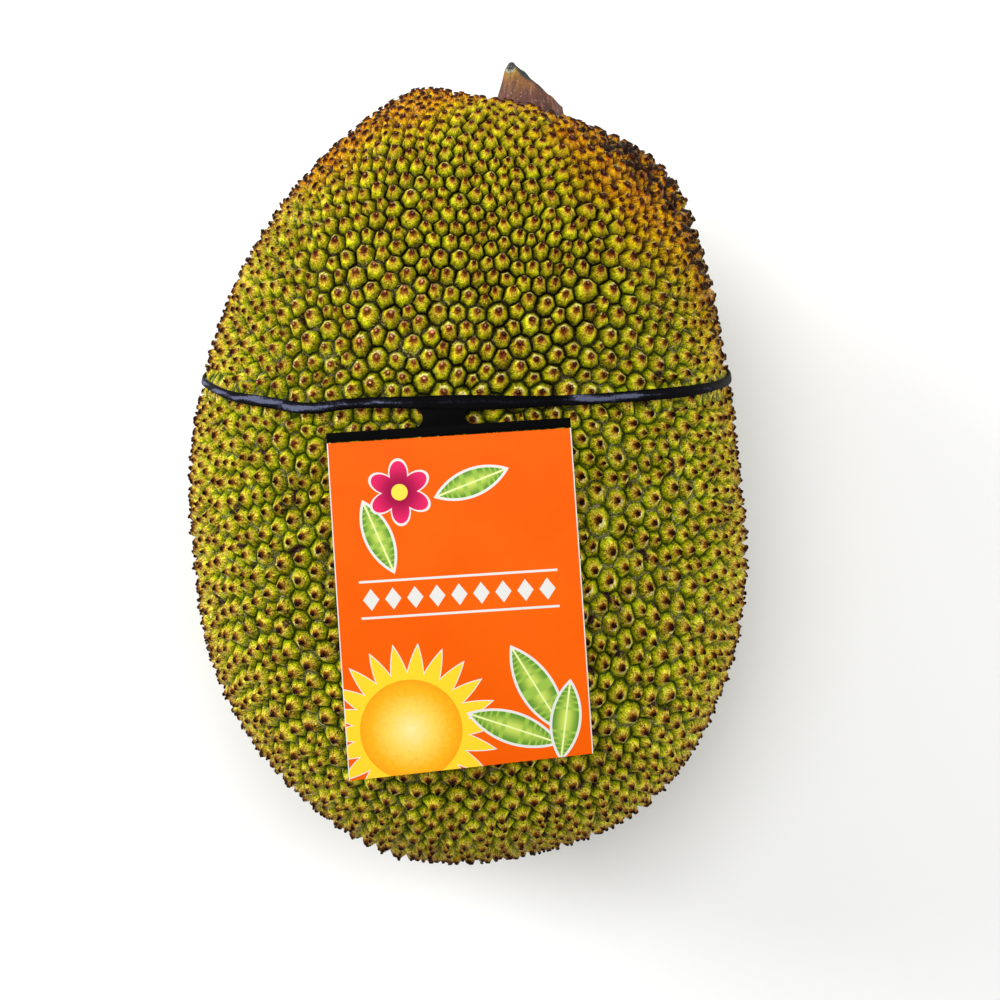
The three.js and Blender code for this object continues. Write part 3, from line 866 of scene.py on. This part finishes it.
@dataclass
class SpineField:
    """Where the spines stand, and the many-sided cell of rind about each.

    A pair of sizes is for the pointed spines and for the domed ones.
    """

    envelope: Envelope
    count: int = 4200
    scatter: float = 0.36
    settle_rounds: int = 4
    settle_pull: float = 0.5
    fine_side: Spot = (0.05, 0.78, 0.55)
    fine_bias: float = 0.06
    close_side: Spot = (0.13, 0.5, 0.85)
    close_pull: float = 0.26
    close_spread: float = 0.36
    stretch: Spot = (0.126, 0.163, 0.1175)
    dome_side: Spot = (0.07, 0.6, 0.79)
    dome_range: Pair = (0.86, 0.42)
    dome_lean: Spot = (0.0003, 0.0023, 0.0)
    depth: Pair = (0.0054, 0.0066)
    unevenness: float = 0.16
    tip_inset: Pair = (0.0012, 0.0008)
    ripe_sag: float = 0.0012
    lean: float = 0.00055
    seed: int = 7
    ripe: tuple[Patch, ...] = (
        Patch(-0.042, 0.143, 0.14, 0.045, 1.0),
        Patch(0.062, 0.13, 0.16, 0.03, 1.25),
        Patch(0.085, 0.1, 0.15, 0.05, 0.6),
        Patch(0.112, 0.05, 0.12, 0.05, 0.4),
        Patch(-0.014, 0.165, 0.13, 0.035, 0.5),
        Patch(0.03, 0.152, 0.15, 0.03, 0.35),
        Patch(-0.11, 0.06, 0.13, 0.05, 0.35),
        Patch(0.0, -0.17, 0.1, 0.04, 0.3),
    )
    stain_and_shade: tuple[Patch, ...] = (
        Patch(0.066, 0.126, 0.16, 0.03, 0.42),
        Patch(0.085, 0.128, 0.13, 0.035, 0.5),
        Patch(0.098, 0.085, 0.15, 0.03, 0.44),
        Patch(-0.06, 0.13, 0.14, 0.03, 0.4),
        Patch(0.11, 0.06, 0.13, 0.03, 0.38),
        Patch(0.012, 0.165, 0.13, 0.014, 0.7),
        Patch(0.025, 0.15, 0.15, 0.035, 0.42),
        # The four patches from here on are painted shade: they darken the fruit's +X side.
        Patch(0.128, 0.03, 0.105, 0.026, 0.3),
        Patch(0.129, -0.01, 0.105, 0.026, 0.3),
        Patch(0.128, -0.05, 0.105, 0.026, 0.3),
        Patch(0.12, -0.09, 0.105, 0.026, 0.3),
    )
    corky: tuple[Patch, ...] = (
        Patch(-0.03, 0.05, 0.22, 0.045, 1.0),
        Patch(-0.075, 0.03, 0.2, 0.035, 0.8),
    )

    def __post_init__(self) -> None:
        """Settles the spines and works out their cells."""
        chance = np.random.default_rng(self.seed)
        self.cells = self._settled(self._scattered(chance))
        self.sites = vert_places(self.cells)
        self.tone = chance.uniform(0, 1, len(self.sites))
        leant = self.sites + chance.normal(0, self.lean, self.sites.shape)
        leant += self.domed(self.sites)[:, None] * self.dome_lean
        self.tip_ways = self.envelope.directions(leant)
        self.tips = self.envelope.points(self.tip_ways)
        self.ripe_at_tips = np.minimum(covered(self.ripe, self.tips), 1)
        self._turn_inside_out()

    def _scattered(self, chance: np.random.Generator) -> Array:
        """Spreads directions on a spiral, scatters them and draws them towards the finer sides."""
        index = np.arange(self.count)
        height = 1 - (2 * index + 1) / self.count
        ring = np.sqrt(1 - height * height)
        turn = math.pi * (3 - math.sqrt(5)) * index
        spots = np.stack([ring * np.cos(turn), ring * np.sin(turn), height], axis=1)
        pitch = math.sqrt(4 * math.pi / self.count)
        spots = unit(spots + chance.uniform(-1, 1, spots.shape) * self.scatter * pitch)
        side = unit(self.fine_side)
        gain = 1 / math.sqrt(1 - self.fine_bias**2)
        drawn = (gain - 1) * (spots @ side) + gain * self.fine_bias
        spots = unit(spots + side * drawn[:, None])
        ways = unit(self.close_side) - spots
        pull = self.close_pull * bell(np.linalg.norm(ways, axis=1), self.close_spread)
        spots = spots + ways * pull[:, None]
        return unit(unit(spots) * self.stretch)

    def _settled(self, spots: Array) -> BMesh:
        """Joins the directions into triangles and evens them out on the envelope."""
        bm = bmesh.new()
        for spot in spots:
            bm.verts.new(spot)
        bmesh.ops.convex_hull(bm, input=bm.verts)
        for turn in range(self.settle_rounds + 1):
            if turn:
                bmesh.ops.smooth_vert(
                    bm, verts=bm.verts, factor=self.settle_pull,
                    use_axis_x=True, use_axis_y=True, use_axis_z=True,
                )
                spots = self.envelope.directions(vert_places(bm))
            move_verts(bm, self.envelope.points(spots))
            bmesh.ops.beautify_fill(bm, faces=bm.faces, edges=bm.edges, method="ANGLE")
        return bm

    def _turn_inside_out(self) -> None:
        """Turns the triangles between spines into one face about each, marked with its number."""
        bm = self.cells
        spine = bm.faces.layers.int.new("spine")
        joins = list(bm.edges)
        bmesh.ops.poke(bm, faces=bm.faces)
        bmesh.ops.rotate_edges(bm, edges=joins)
        bm.verts.index_update()
        for face in bm.faces:
            face[spine] = min(vert.index for vert in face.verts)
        bm.verts.ensure_lookup_table()
        bmesh.ops.dissolve_verts(bm, verts=bm.verts[: len(self.sites)])

    def domed(self, places: Array) -> Array:
        """Gives 1 where the spines are domed and close, 0 where they are pointed."""
        apart = self.envelope.directions(places) - unit(self.dome_side)
        return smooth_between(*self.dome_range, np.linalg.norm(apart, axis=1))

    def lean_ways(self) -> Array:
        """Gives the way each spine leans: down the fruit, or towards the stalk where domed."""
        down = unit(self.tip_ways * (1, 1, 0) + NUDGE)
        return down + (unit(self.dome_lean) - down) * self.domed(self.tips)[:, None]

    def tip_depth(self, spine: Array, dome: Array) -> Array:
        """Gives how far below the envelope the flesh of each spine ends."""
        inset = self.between(self.tip_inset, dome) + self.ripe_sag * self.ripe_at_tips[spine]
        return inset + self.unevenness * self.between(self.depth, dome) * (1 - self.tone[spine])

    def valley_depth(self, dome: Array) -> Array:
        """Gives how far below the envelope the valleys between the spines lie."""
        return self.tip_inset[0] + self.between(self.depth, dome)

    @staticmethod
    def between(sizes: Pair | tuple[Array, Array], dome: Array) -> Array:
        """Goes from a size of the pointed spines to that of the domed ones."""
        return sizes[0] + (sizes[1] - sizes[0]) * dome


class RingedMesh:
    """Spines raised from their cells in rings, with what each vertex belongs to."""

    def __init__(self, bm: BMesh, rings: int, apart: bool) -> None:
        """Raises the rings and closes them with a point; the vertices aren't moved.

        Args:
            bm: The cells, which are used up.
            rings: How many rings each spine has.
            apart: Whether each spine is a closed body of its own, on a floor.
        """
        if apart:
            bmesh.ops.split_edges(bm, edges=bm.edges)
        number = bm.faces.layers.int["spine"]
        self._spine_of = bm.verts.layers.int.new("spine_of")
        self._ring_of = bm.verts.layers.int.new("ring_of")
        caps = list(bm.faces)
        self._mark(caps, number, 0)
        for ring in range(1, rings + 1):
            if apart and ring == 1:
                floors = caps
                raised = bmesh.ops.extrude_face_region(bm, geom=floors, use_keep_orig=True)["geom"]
                caps = only(bmesh.types.BMFace, raised)
                bmesh.ops.reverse_faces(bm, faces=floors)
            else:
                caps = bmesh.ops.extrude_discrete_faces(bm, faces=caps)["faces"]
            self._mark(caps, number, ring)
        for tip in bmesh.ops.poke(bm, faces=caps)["verts"]:
            tip[self._spine_of] = tip.link_edges[0].other_vert(tip)[self._spine_of]
            tip[self._ring_of] = rings + 1
        self._bm = bm
        self.foot = vert_places(bm)
        self.spine = np.array([vert[self._spine_of] for vert in bm.verts])
        self.ring = np.array([vert[self._ring_of] for vert in bm.verts])
        self.raised = self.ring > 0

    def _mark(self, caps: list[bmesh.types.BMFace], number: bmesh.types.BMLayerItem, ring: int) -> None:
        """Notes the spine and the ring on the corners of faces."""
        for cap in caps:
            for vert in cap.verts:
                vert[self._spine_of] = cap[number]
                vert[self._ring_of] = ring

    def settle(self, places: Array) -> Mesh:
        """Moves the vertices to their places, or to the floor where those lie under it."""
        places[:, 2] = np.maximum(places[:, 2], 0)
        move_verts(self._bm, places)
        return to_mesh(self._bm, "spines")

    def graded(self, pointed: Row, domed: Row, dome: Array) -> Array:
        """Reads each ring's size, between that of a pointed spine and that of a domed one."""
        return SpineField.between((np.array(pointed)[self.ring], np.array(domed)[self.ring]), dome)

    def spokes(self, centres: Array, envelope: Envelope) -> tuple[Array, Array]:
        """Measures the cells from their spines' centres.

        Args:
            centres: The centre of every spine.
            envelope: The skin that the cells lie on.

        Returns:
            For each vertex the way from its spine to the corner under it, and the mean length of
            its spine's ways.
        """
        spokes = envelope.points(envelope.directions(self.foot)) - centres[self.spine]
        first = self.ring == 1
        length = np.linalg.norm(spokes[first], axis=1)
        counts, sums = (
            np.bincount(self.spine[first], weights, minlength=len(centres)) for weights in (None, length)
        )
        return spokes, (sums / np.maximum(counts, 1))[self.spine]


@dataclass
class Rind:
    """The spined skin of the fruit."""

    field: SpineField
    cone_shares: Row = (0.0, 0.09, 0.4, 0.76, 1.0)
    dome_shares: Row = (0.0, 0.06, 0.25, 0.62, 1.0)
    powers: Pair = (0.86, 1.5)
    walls: Pair = (0.0, 0.34)
    blunt_share: float = 0.82
    least_spoke: float = 1e-5
    band_filling: float = 0.75
    ridge_height: float = 0.0006
    ridge_rise: float = 0.7
    ruffle: float = 0.0002
    hash_ways: Spot = (12989.8, 78233.0, 37719.0)
    hash_step: float = 0.618
    hash_gain: float = 43758.5453
    marking_axis: Spot = (0.3, 0.5, 0.8)
    sharp_angle: float = 42.0
    seed: int = 5

    def build(self) -> None:
        """Models the rind and dresses it."""
        field, skin = self.field, self.field.envelope
        rings = RingedMesh(field.cells.copy(), len(self.cone_shares) - 2, apart=False)
        spine, raised = rings.spine, rings.raised
        share = rings.graded(self.cone_shares, self.dome_shares, field.domed(field.tips)[spine])
        spokes, mean = rings.spokes(field.tips, skin)
        length = np.maximum(np.linalg.norm(spokes, axis=1), self.least_spoke)
        even = 1 + share**3 * (mean / length - 1)
        place = field.tips[spine] + spokes * ((1 - share) * even)[:, None]
        ways = skin.directions(np.where(raised[:, None], place, rings.foot))
        dome, spots = field.domed(place), skin.points(ways)
        bottom = field.valley_depth(dome) * (1 - self.band_filling * skin.under_band(spots))
        tip = np.minimum(field.tip_depth(spine, dome), bottom)
        left = 1 - np.minimum(share / self.blunt_share, 1)
        slope = (1 - field.between(self.walls, dome)) * left ** field.between(self.powers, dome)
        inset = np.where(raised, tip + (bottom - tip) * slope, bottom) + self._ridges(rings, share)
        places = spots - skin.normals(ways) * inset[:, None]
        mesh = rings.settle(places)
        write_marks(mesh, share=share, dome=dome, **self._marks(rings, places, unit(spokes + NUDGE)))
        keep_sharp(mesh, self.sharp_angle)
        finish_piece("rind", mesh, RindFinish().make(), "fruit")

    def _ridges(self, rings: RingedMesh, share: Array) -> Array:
        """Gives how far ridges and furrows that run down each spine raise or lower its skin."""
        # A hash of each vertex's foot, so that ridges next to each other share no pattern.
        code = rings.foot @ self.hash_ways + rings.spine * self.hash_step
        ridge = 2 * np.mod(np.sin(code) * self.hash_gain, 1) - 1
        ruffle = np.random.default_rng(self.seed).normal(0, self.ruffle, len(share))
        return (ridge * self.ridge_height + ruffle) * np.sin(math.pi * share**self.ridge_rise)

    def _marks(self, rings: RingedMesh, places: Array, turn: Array) -> dict[str, Array]:
        """Gives what else the finish reads: turn about the spine, lean, tone, ripeness, and stains with
        painted shade along the +X side.
        """
        field, spine = self.field, rings.spine
        middles = field.tip_ways[spine]
        side = unit(np.cross(middles, self.marking_axis))
        ways = {"turn_a": side, "turn_b": np.cross(middles, side), "outer": field.lean_ways()[spine]}
        turns = {name: np.where(rings.raised, dots(turn, way), 0) for name, way in ways.items()}
        tone = np.where(rings.raised, field.tone[spine], 0.5)
        patches = {"ripe": field.ripe, "stain_and_shade": field.stain_and_shade, "corky": field.corky}
        covers = {name: covered(group, places) for name, group in patches.items()}
        return {"tone": tone, **turns, **covers}


@dataclass
class SpineTips:
    """The dried tips that stand on the spines: low rings on domes, short stubs on points.

    Radii and rises are in millimetres, from the foot of a tip to its top.
    """

    field: SpineField
    radii: Row = (1.1, 1.1, 0.86, 0.46, 0.0)
    widths: Pair = (0.62, 0.84)
    ripe_growth: float = 0.95
    ripe_flattening: float = 0.7
    oval: float = 0.3
    oval_balance: float = 0.7
    stub_rises: Row = (-0.9, -0.1, 0.26, 0.42, 0.46)
    dome_rises: Row = (-0.6, 0.0, 0.34, 0.28, 0.0)
    roughness: float = 0.26
    rise_roughness: float = 0.25
    bend: float = 0.00028
    usual_cell: float = 0.0042
    size_range: Pair = (0.6, 1.25)
    flat_nudge: float = 1e-9
    lowest: float = 0.004
    seed: int = 12

    def build(self) -> None:
        """Models the tips and dresses them."""
        field, skin = self.field, self.field.envelope
        bm = field.cells.copy()
        number = bm.faces.layers.int["spine"]
        low = [face for face in bm.faces if field.tips[face[number]][2] < self.lowest]
        bmesh.ops.delete(bm, geom=low, context="FACES")
        rings = RingedMesh(bm, len(self.radii) - 2, apart=True)
        spine, ring, up = rings.spine, rings.ring, rings.ring / rings.ring.max()
        spokes, mean = rings.spokes(field.tips, skin)
        normals = skin.normals(field.tip_ways)[spine]
        turn = unit(spokes - normals * dots(spokes, normals)[:, None] + self.flat_nudge)
        dome = field.domed(field.tips)[spine]
        chance = np.random.default_rng(self.seed)
        uneven = 1 + self.roughness * chance.uniform(-1, 1, len(spine))
        longways = unit(chance.normal(0, 1, field.tips.shape))[spine]
        oval = 1 + self.oval * (2 * dots(turn, longways) ** 2 - self.oval_balance)
        ripe = field.ripe_at_tips[spine]
        size = np.clip(mean / self.usual_cell, *self.size_range) * uneven * oval
        size = size * (1 + self.ripe_growth * ripe)
        radius = np.array(self.radii)[ring] * MM * size * field.between(self.widths, dome)
        height = rings.graded(self.stub_rises, self.dome_rises, dome) * MM
        height = height * (1 - self.ripe_flattening * ripe)
        height = height * (1 - self.rise_roughness + self.rise_roughness * uneven)
        lift = height - field.tip_depth(spine, dome)
        bends = chance.normal(0, self.bend, field.tips.shape)[spine]
        places = field.tips[spine] + turn * radius[:, None] + normals * lift[:, None]
        mesh = rings.settle(places + bends * up[:, None])
        write_marks(
            mesh, share=up, dome=dome, tone=field.tone[spine],
            outer=dots(turn, field.lean_ways()[spine]), corky=covered(field.corky, field.tips)[spine],
        )
        finish_piece("spine_tips", mesh, TipFinish().make(), None)


# ---- the stalk


@dataclass
class Stalk:
    """The short thick stalk, ridged along its length and cut on the slant."""

    heading: float = 78.8
    foot: float = 0.142
    length: float = 0.0461
    foot_radius: float = 0.0218
    top_radius: float = 0.0105
    tilt: float = 3.0
    ridges: int = 9
    ridge_depth: float = 0.0005
    round_from: float = 0.9
    rounding: float = 0.1
    cut_at: Spot = (0.0257, 0.1808, 0.107)
    cut_heading: float = 47.9
    cut_rise: float = 7.0
    rim: float = 0.0013
    rim_drop: float = 0.0006
    waviness: float = 0.0003
    worn_depth: float = 0.002
    sides: int = 64
    rings: int = 22

    def _trunk(self) -> BMesh:
        """Makes the uncut stalk along +Y, with its ridges and knobs."""
        bm = bmesh.new()
        bmesh.ops.create_cone(
            bm, cap_ends=True, cap_tris=False, segments=self.sides, radius1=1, radius2=1, depth=1
        )
        upright = [e for e in bm.edges if abs(e.verts[0].co.z - e.verts[1].co.z) > 0.5]
        bmesh.ops.subdivide_edges(bm, edges=upright, cuts=self.rings)
        along_of = bm.verts.layers.float.new("along")
        for vert in bm.verts:
            along = vert.co.z + 0.5
            angle = math.atan2(vert.co.y, vert.co.x)
            # Waves of unlike counts and phases, so that the ridges and knobs look uneven.
            ridge = math.cos(self.ridges * angle) + 0.5 * math.sin(23 * angle + 9 * along)
            knob = 0.6 * math.sin(3 * angle + 1.7) * math.sin(11 * along + 0.8)
            over = max(0.0, (along - self.round_from) / (1 - self.round_from))
            radius = self.top_radius + (self.foot_radius - self.top_radius) * (1 - along)
            radius = (radius + self.ridge_depth * (ridge + knob)) * (1 - self.rounding * over**2)
            vert.co = (radius * math.cos(angle), along * self.length, radius * math.sin(angle))
            vert[along_of] = along
        return bm

    def build(self) -> None:
        """Models the stalk, cuts it and dresses it."""
        bm = self._trunk()
        cut_way = heading_vector(self.cut_heading, self.cut_rise)
        turn = Matrix.Rotation(math.radians(-self.tilt), 3, "Z")
        bmesh.ops.rotate(bm, verts=bm.verts, cent=(0, 0, 0), matrix=turn)
        foot = heading_vector(self.heading, 0) * self.foot + FRUIT_MIDDLE
        bmesh.ops.translate(bm, verts=bm.verts, vec=foot)
        halves = bmesh.ops.bisect_plane(
            bm, geom=[*bm.verts, *bm.edges, *bm.faces], dist=NUDGE,
            plane_co=self.cut_at, plane_no=cut_way, clear_outer=True,
        )
        edges = only(bmesh.types.BMEdge, halves["geom_cut"])
        cut = bmesh.ops.contextual_create(bm, geom=edges)["faces"]
        bmesh.ops.recalc_face_normals(bm, faces=bm.faces)
        bmesh.ops.inset_region(bm, faces=cut, thickness=self.rim, depth=-self.rim_drop)
        cut_of = bm.verts.layers.float.new("cut")
        for vert in bmesh.ops.poke(bm, faces=cut)["verts"]:
            for marked in (vert, *(edge.other_vert(vert) for edge in vert.link_edges)):
                marked[cut_of] = 1.0
        self._weather(bm, cut_way)
        finish = BarkFinish(self.cut_at, tuple(cut_way))
        mesh = to_mesh(bm, "stalk", only_quads=True)
        finish_piece("stalk_bark", mesh, finish.make(), "stalk")

    def _weather(self, bm: BMesh, cut_way: Array) -> None:
        """Makes the cut's edge slightly wavy, as it dried."""
        places = vert_places(bm)
        depth = (self.cut_at - places) @ cut_way
        near = np.exp(-np.maximum(depth, 0) / self.worn_depth)
        # Two crossing waves, each a few millimetres long.
        x, y, z = (places[:, axis] / MM for axis in range(3))
        wave = np.sin(0.62 * x - 0.4 * y + 0.9) + 0.6 * np.sin(1.3 * y + 0.35 * z)
        move_verts(bm, places + cut_way * (near * (wave - 1) * self.waviness)[:, None])


# ---- the tag


@dataclass(frozen=True)
class TagPlace:
    """Where the card and its hanger lie, measured across and down from the card's top edge."""

    top: Pair = (-0.0066, 0.0115)
    width: float = 0.1015
    foot_width: float = 0.1035
    left_height: float = 0.142
    right_height: float = 0.137
    thickness: float = 0.0008
    turn: float = 3.7
    fall: float = 3.0
    bend_radius: float = 0.8

    def outline(self, across: Array, down: Array) -> tuple[Array, Array]:
        """Turns shares of the card, from its middle and its top edge, into distances."""
        width = self.width + (self.foot_width - self.width) * down
        height = self.left_height + (self.right_height - self.left_height) * (across + 0.5)
        return width * across, height * down

    def points(self, across: Array, down: Array, lift: Array) -> Array:
        """Gives the places at distances across, down and above the card's middle plane."""
        turn = math.radians(self.turn)
        below = np.maximum(down, 0)
        drop = below * math.tan(math.radians(self.fall)) + below**2 / (2 * self.bend_radius)
        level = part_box("card")[1].z - self.thickness / 2
        x = self.top[0] + across * math.cos(turn) + down * math.sin(turn)
        y = self.top[1] + across * math.sin(turn) - down * math.cos(turn)
        return np.stack([x, y, level - drop + lift], axis=1)


@dataclass
class Strap:
    """The black rubber band round the fruit, with the neck and bar that hold the card."""

    envelope: Envelope
    place: TagPlace
    width: float = 0.0055
    thickness: float = 0.0015
    gap: float = 0.00035
    side_beyond: Pair = (0.09, 0.12)
    side_sink: float = 0.0009
    side_thinning: float = 0.3
    left_narrowing: float = 0.34
    right_narrowing: float = 0.14
    usual_width: float = 0.84
    neck_widening: float = 0.3
    neck_spread: float = 0.2
    width_wave: float = 0.04
    width_waves: int = 9
    width_phase: float = 1.0
    course_step: float = 0.02
    steps: int = 240
    corners: int = 16
    spin_radius: float = 0.1
    edge_sheen_falloff: float = 0.6
    bar_height: float = 0.004
    bar_thickness: float = 0.0016
    neck_width: float = 0.018
    neck_x: float = -0.0015
    neck_length: float = 0.014
    neck_cuts: int = 9
    bar_sheen: float = 0.1
    neck_sheen: float = 0.3
    flange_length: float = 0.0065
    flange_width: float = 0.0028
    crown_radius: float = 0.12
    fillet: float = 0.0034
    edge_round: float = 0.0003
    least_corner: float = 0.8
    sharp_angle: float = 40.0

    def _band(self) -> BMesh:
        """Spins the band's rounded profile into a ring about Y."""
        bm = bmesh.new()
        crown_of = bm.verts.layers.float.new("crown")
        bmesh.ops.create_circle(bm, segments=self.corners, radius=1, cap_ends=False)
        for vert in bm.verts:
            out, side = (math.copysign(abs(part) ** 0.5, part) for part in vert.co[:2])
            # The crown mark places the rubber's painted sheen: full on the crown, weaker towards the edges.
            vert[crown_of] = 1 - self.edge_sheen_falloff * abs(side)
            radius = self.spin_radius + self.thickness * (0.5 + 0.5 * out)
            vert.co = (radius, self.width / 2 * side, 0)
        bmesh.ops.spin(
            bm, geom=[*bm.verts, *bm.edges], cent=(0, 0, 0), axis=(0, 1, 0),
            angle=math.tau, steps=self.steps, use_merge=True,
        )
        bmesh.ops.recalc_face_normals(bm, faces=bm.faces)
        self._lay(bm)
        return bm

    def _lay(self, bm: BMesh) -> None:
        """Lays the ring on the spine tips along the band's course."""
        ring = vert_places(bm)
        angle = np.arctan2(ring[:, 0], ring[:, 2])
        seat, ahead, behind = (
            self.envelope.band_seats(angle + step) for step in (0, self.course_step, -self.course_step)
        )
        normal = self.envelope.normals(self.envelope.directions(seat))
        across = unit(np.cross(normal, ahead - behind))
        out = np.hypot(ring[:, 0], ring[:, 2]) - self.spin_radius
        side = smooth_between(*self.side_beyond, np.abs(seat[:, 0]))
        width = self.usual_width + self.neck_widening * bell(angle, self.neck_spread)
        width = width + self.width_wave * np.sin(self.width_waves * angle + self.width_phase)
        width = width * (1 - side * np.where(seat[:, 0] < 0, self.left_narrowing, self.right_narrowing))
        lift = self.gap + (1 - self.side_thinning * side) * out - self.side_sink * side
        move_verts(bm, seat + normal * lift[:, None] + across * (ring[:, 1] * width)[:, None])

    def _hanger(self) -> BMesh:
        """Makes the bar, the neck and the flange that runs into the band."""
        half, left = self.place.width / 2, self.neck_x - self.neck_width / 2
        right, bottom = self.neck_x + self.neck_width / 2, self.gap
        top, end = bottom + self.bar_height, bottom + self.neck_length
        shoulder = end - self.flange_width
        outline = [
            (-half, bottom), (half, bottom), (half, top), (right, top), (right, shoulder),
            (right + self.flange_length, shoulder), (right + self.flange_length, end),
            (left - self.flange_length, end), (left - self.flange_length, shoulder), (left, shoulder),
            (left, top), (-half, top),
        ]
        bm = bmesh.new()
        verts = [bm.verts.new((*corner, 0)) for corner in outline]
        bm.faces.new(verts)
        inner = [vert for vert, (x, _) in zip(verts, outline) if x in (left, right)]
        bmesh.ops.bevel(
            bm, geom=inner, offset=self.fillet, segments=6, affect="VERTICES",
            profile=0.5, material=-1,
        )
        for share in np.linspace(0, 1, self.neck_cuts):
            bmesh.ops.bisect_plane(
                bm, geom=[*bm.verts, *bm.edges, *bm.faces], dist=NUDGE,
                plane_co=(0, top + (end - top) * share, 0), plane_no=(0, 1, 0),
            )
        thicken(bm, self.bar_thickness)
        rim = [e for e in bm.edges if e.calc_face_angle(0) > self.least_corner and self._is_level(e)]
        bmesh.ops.bevel(
            bm, geom=rim, offset=self.edge_round, segments=2, affect="EDGES",
            profile=0.5, material=-1,
        )
        self._slope(bm, top, shoulder)
        return bm

    def _slope(self, bm: BMesh, top: float, shoulder: float) -> None:
        """Lays the flat hanger in place and bends its neck up to meet the band.

        Args:
            bm: The hanger.
            top: How far above the card's edge its bar ends and the bend starts.
            shoulder: How far above that edge the flange starts and the bend ends.
        """
        crown_of = bm.verts.layers.float.new("crown")
        plate = vert_places(bm)
        nought = np.zeros(1)
        level = self.place.points(nought, nought, nought)[0]
        rise = self.envelope.band_seats(nought)[0][2] + self.gap + self.thickness / 2 - level[2]
        share = np.clip((plate[:, 1] - top) / (shoulder - top), 0, 1)
        curve = plate[:, 0] ** 2 / (2 * self.crown_radius)
        lift = plate[:, 2] - self.bar_thickness / 2 + share * (rise - curve)
        places = self.place.points(plate[:, 0], -plate[:, 1], lift)
        places[:, 1] -= share * plate[:, 0] * math.sin(math.radians(self.place.turn))
        move_verts(bm, places)
        # The hanger takes a little of the painted sheen, more along the neck.
        for vert, part in zip(bm.verts, share):
            vert[crown_of] = self.bar_sheen + self.neck_sheen * part

    @staticmethod
    def _is_level(edge: bmesh.types.BMEdge) -> bool:
        """Tells whether an edge runs level."""
        return abs(edge.verts[0].co.z - edge.verts[1].co.z) < NUDGE

    def build(self) -> None:
        """Models the strap and dresses it."""
        bm = bmesh.new()
        for part in (self._band(), self._hanger()):
            bm.from_mesh(to_mesh(part, "strap_part"))
        mesh = to_mesh(bm, "strap")
        keep_sharp(mesh, self.sharp_angle)
        finish_piece("rubber_strap", mesh, RubberFinish().make(), "strap")


@dataclass
class Card:
    """The stiff printed card that hangs from the bar."""

    place: TagPlace
    columns: int = 24
    rows: int = 32
    sharp_angle: float = 40.0

    def build(self) -> None:
        """Models the card and dresses it."""
        bm = bmesh.new()
        bmesh.ops.create_grid(bm, x_segments=self.columns, y_segments=self.rows, size=0.5)
        thicken(bm, 1)
        sheet = vert_places(bm)
        across, down = self.place.outline(sheet[:, 0], 0.5 - sheet[:, 1])
        move_verts(bm, self.place.points(across, down, (sheet[:, 2] - 0.5) * self.place.thickness))
        mesh = to_mesh(bm, "card")
        keep_sharp(mesh, self.sharp_angle)
        write_marks(mesh, across=across / MM, down=down / MM)
        finish_piece("printed_tag", mesh, PrintFinish().make(), "card")


# ---- the studio


@dataclass(frozen=True)
class SoftLight:
    """A square soft light that faces the fruit."""

    name: str
    place: Spot
    size: float
    watts: float

    def hang(self) -> None:
        """Puts the light into the scene."""
        lamp = bpy.data.lights.new(self.name, "AREA")
        lamp.size = self.size
        lamp.energy = self.watts
        light = add_object(self.name, lamp)
        light.location = self.place
        light.rotation_mode = "QUATERNION"
        light.rotation_quaternion = Vector(np.array(FRUIT_MIDDLE) - self.place).to_track_quat("-Z", "Y")


@dataclass
class Studio:
    """Plain pale floor, soft lights on both sides and above, and the camera over the fruit."""

    camera_place: Spot = (0.0146, -0.0151, 1.4085)
    lens: float = 102.5
    clip: Pair = (0.05, 50.0)
    floor_size: float = 30.0
    floor_colour: Colour = (0.97, 0.97, 0.97, 1.0)
    sky_colour: Colour = (1.0, 1.0, 1.0, 1.0)
    sky_strength: float = 0.26
    lights: tuple[SoftLight, ...] = (
        SoftLight("left_light", (-1.5, 0.7, 0.9), 1.0, 31),
        SoftLight("right_light", (1.5, 0.3, 0.9), 1.0, 14),
        SoftLight("top_light", (-0.2, 0.3, 2.2), 1.2, 25),
    )

    def _floor(self) -> None:
        """Lays the floor."""
        bm = bmesh.new()
        bmesh.ops.create_grid(bm, x_segments=1, y_segments=1, size=self.floor_size / 2)
        mesh = to_mesh(bm, "floor")
        mesh.materials.append(NodeSheet("floor_paper").finish(self.floor_colour, roughness=0.9, gloss=0.0))
        floor = add_object("floor", mesh)

    def build(self) -> None:
        """Sets up the floor, lights, world and camera."""
        self._floor()
        for light in self.lights:
            light.hang()
        scene = bpy.context.scene
        scene.world = bpy.data.worlds.new("studio")
        scene.world.use_nodes = True
        sky = scene.world.node_tree.nodes["Background"].inputs
        sky["Color"].default_value = self.sky_colour
        sky["Strength"].default_value = self.sky_strength
        scene.view_settings.view_transform = "Standard"
        lens = bpy.data.cameras.new("camera")
        lens.lens = self.lens
        lens.clip_start, lens.clip_end = self.clip
        scene.camera = add_object("camera", lens)
        scene.camera.location = self.camera_place


def main() -> None:
    """Builds the pieces in order."""
    logging.basicConfig(level=logging.INFO, format="%(message)s")
    envelope = Envelope()
    spines = SpineField(envelope)
    Rind(spines).build()
    SpineTips(spines).build()
    Stalk().build()
    tag = TagPlace()
    Strap(envelope, tag).build()
    Card(tag).build()
    Studio().build()


if __name__ == "__main__":
    main()
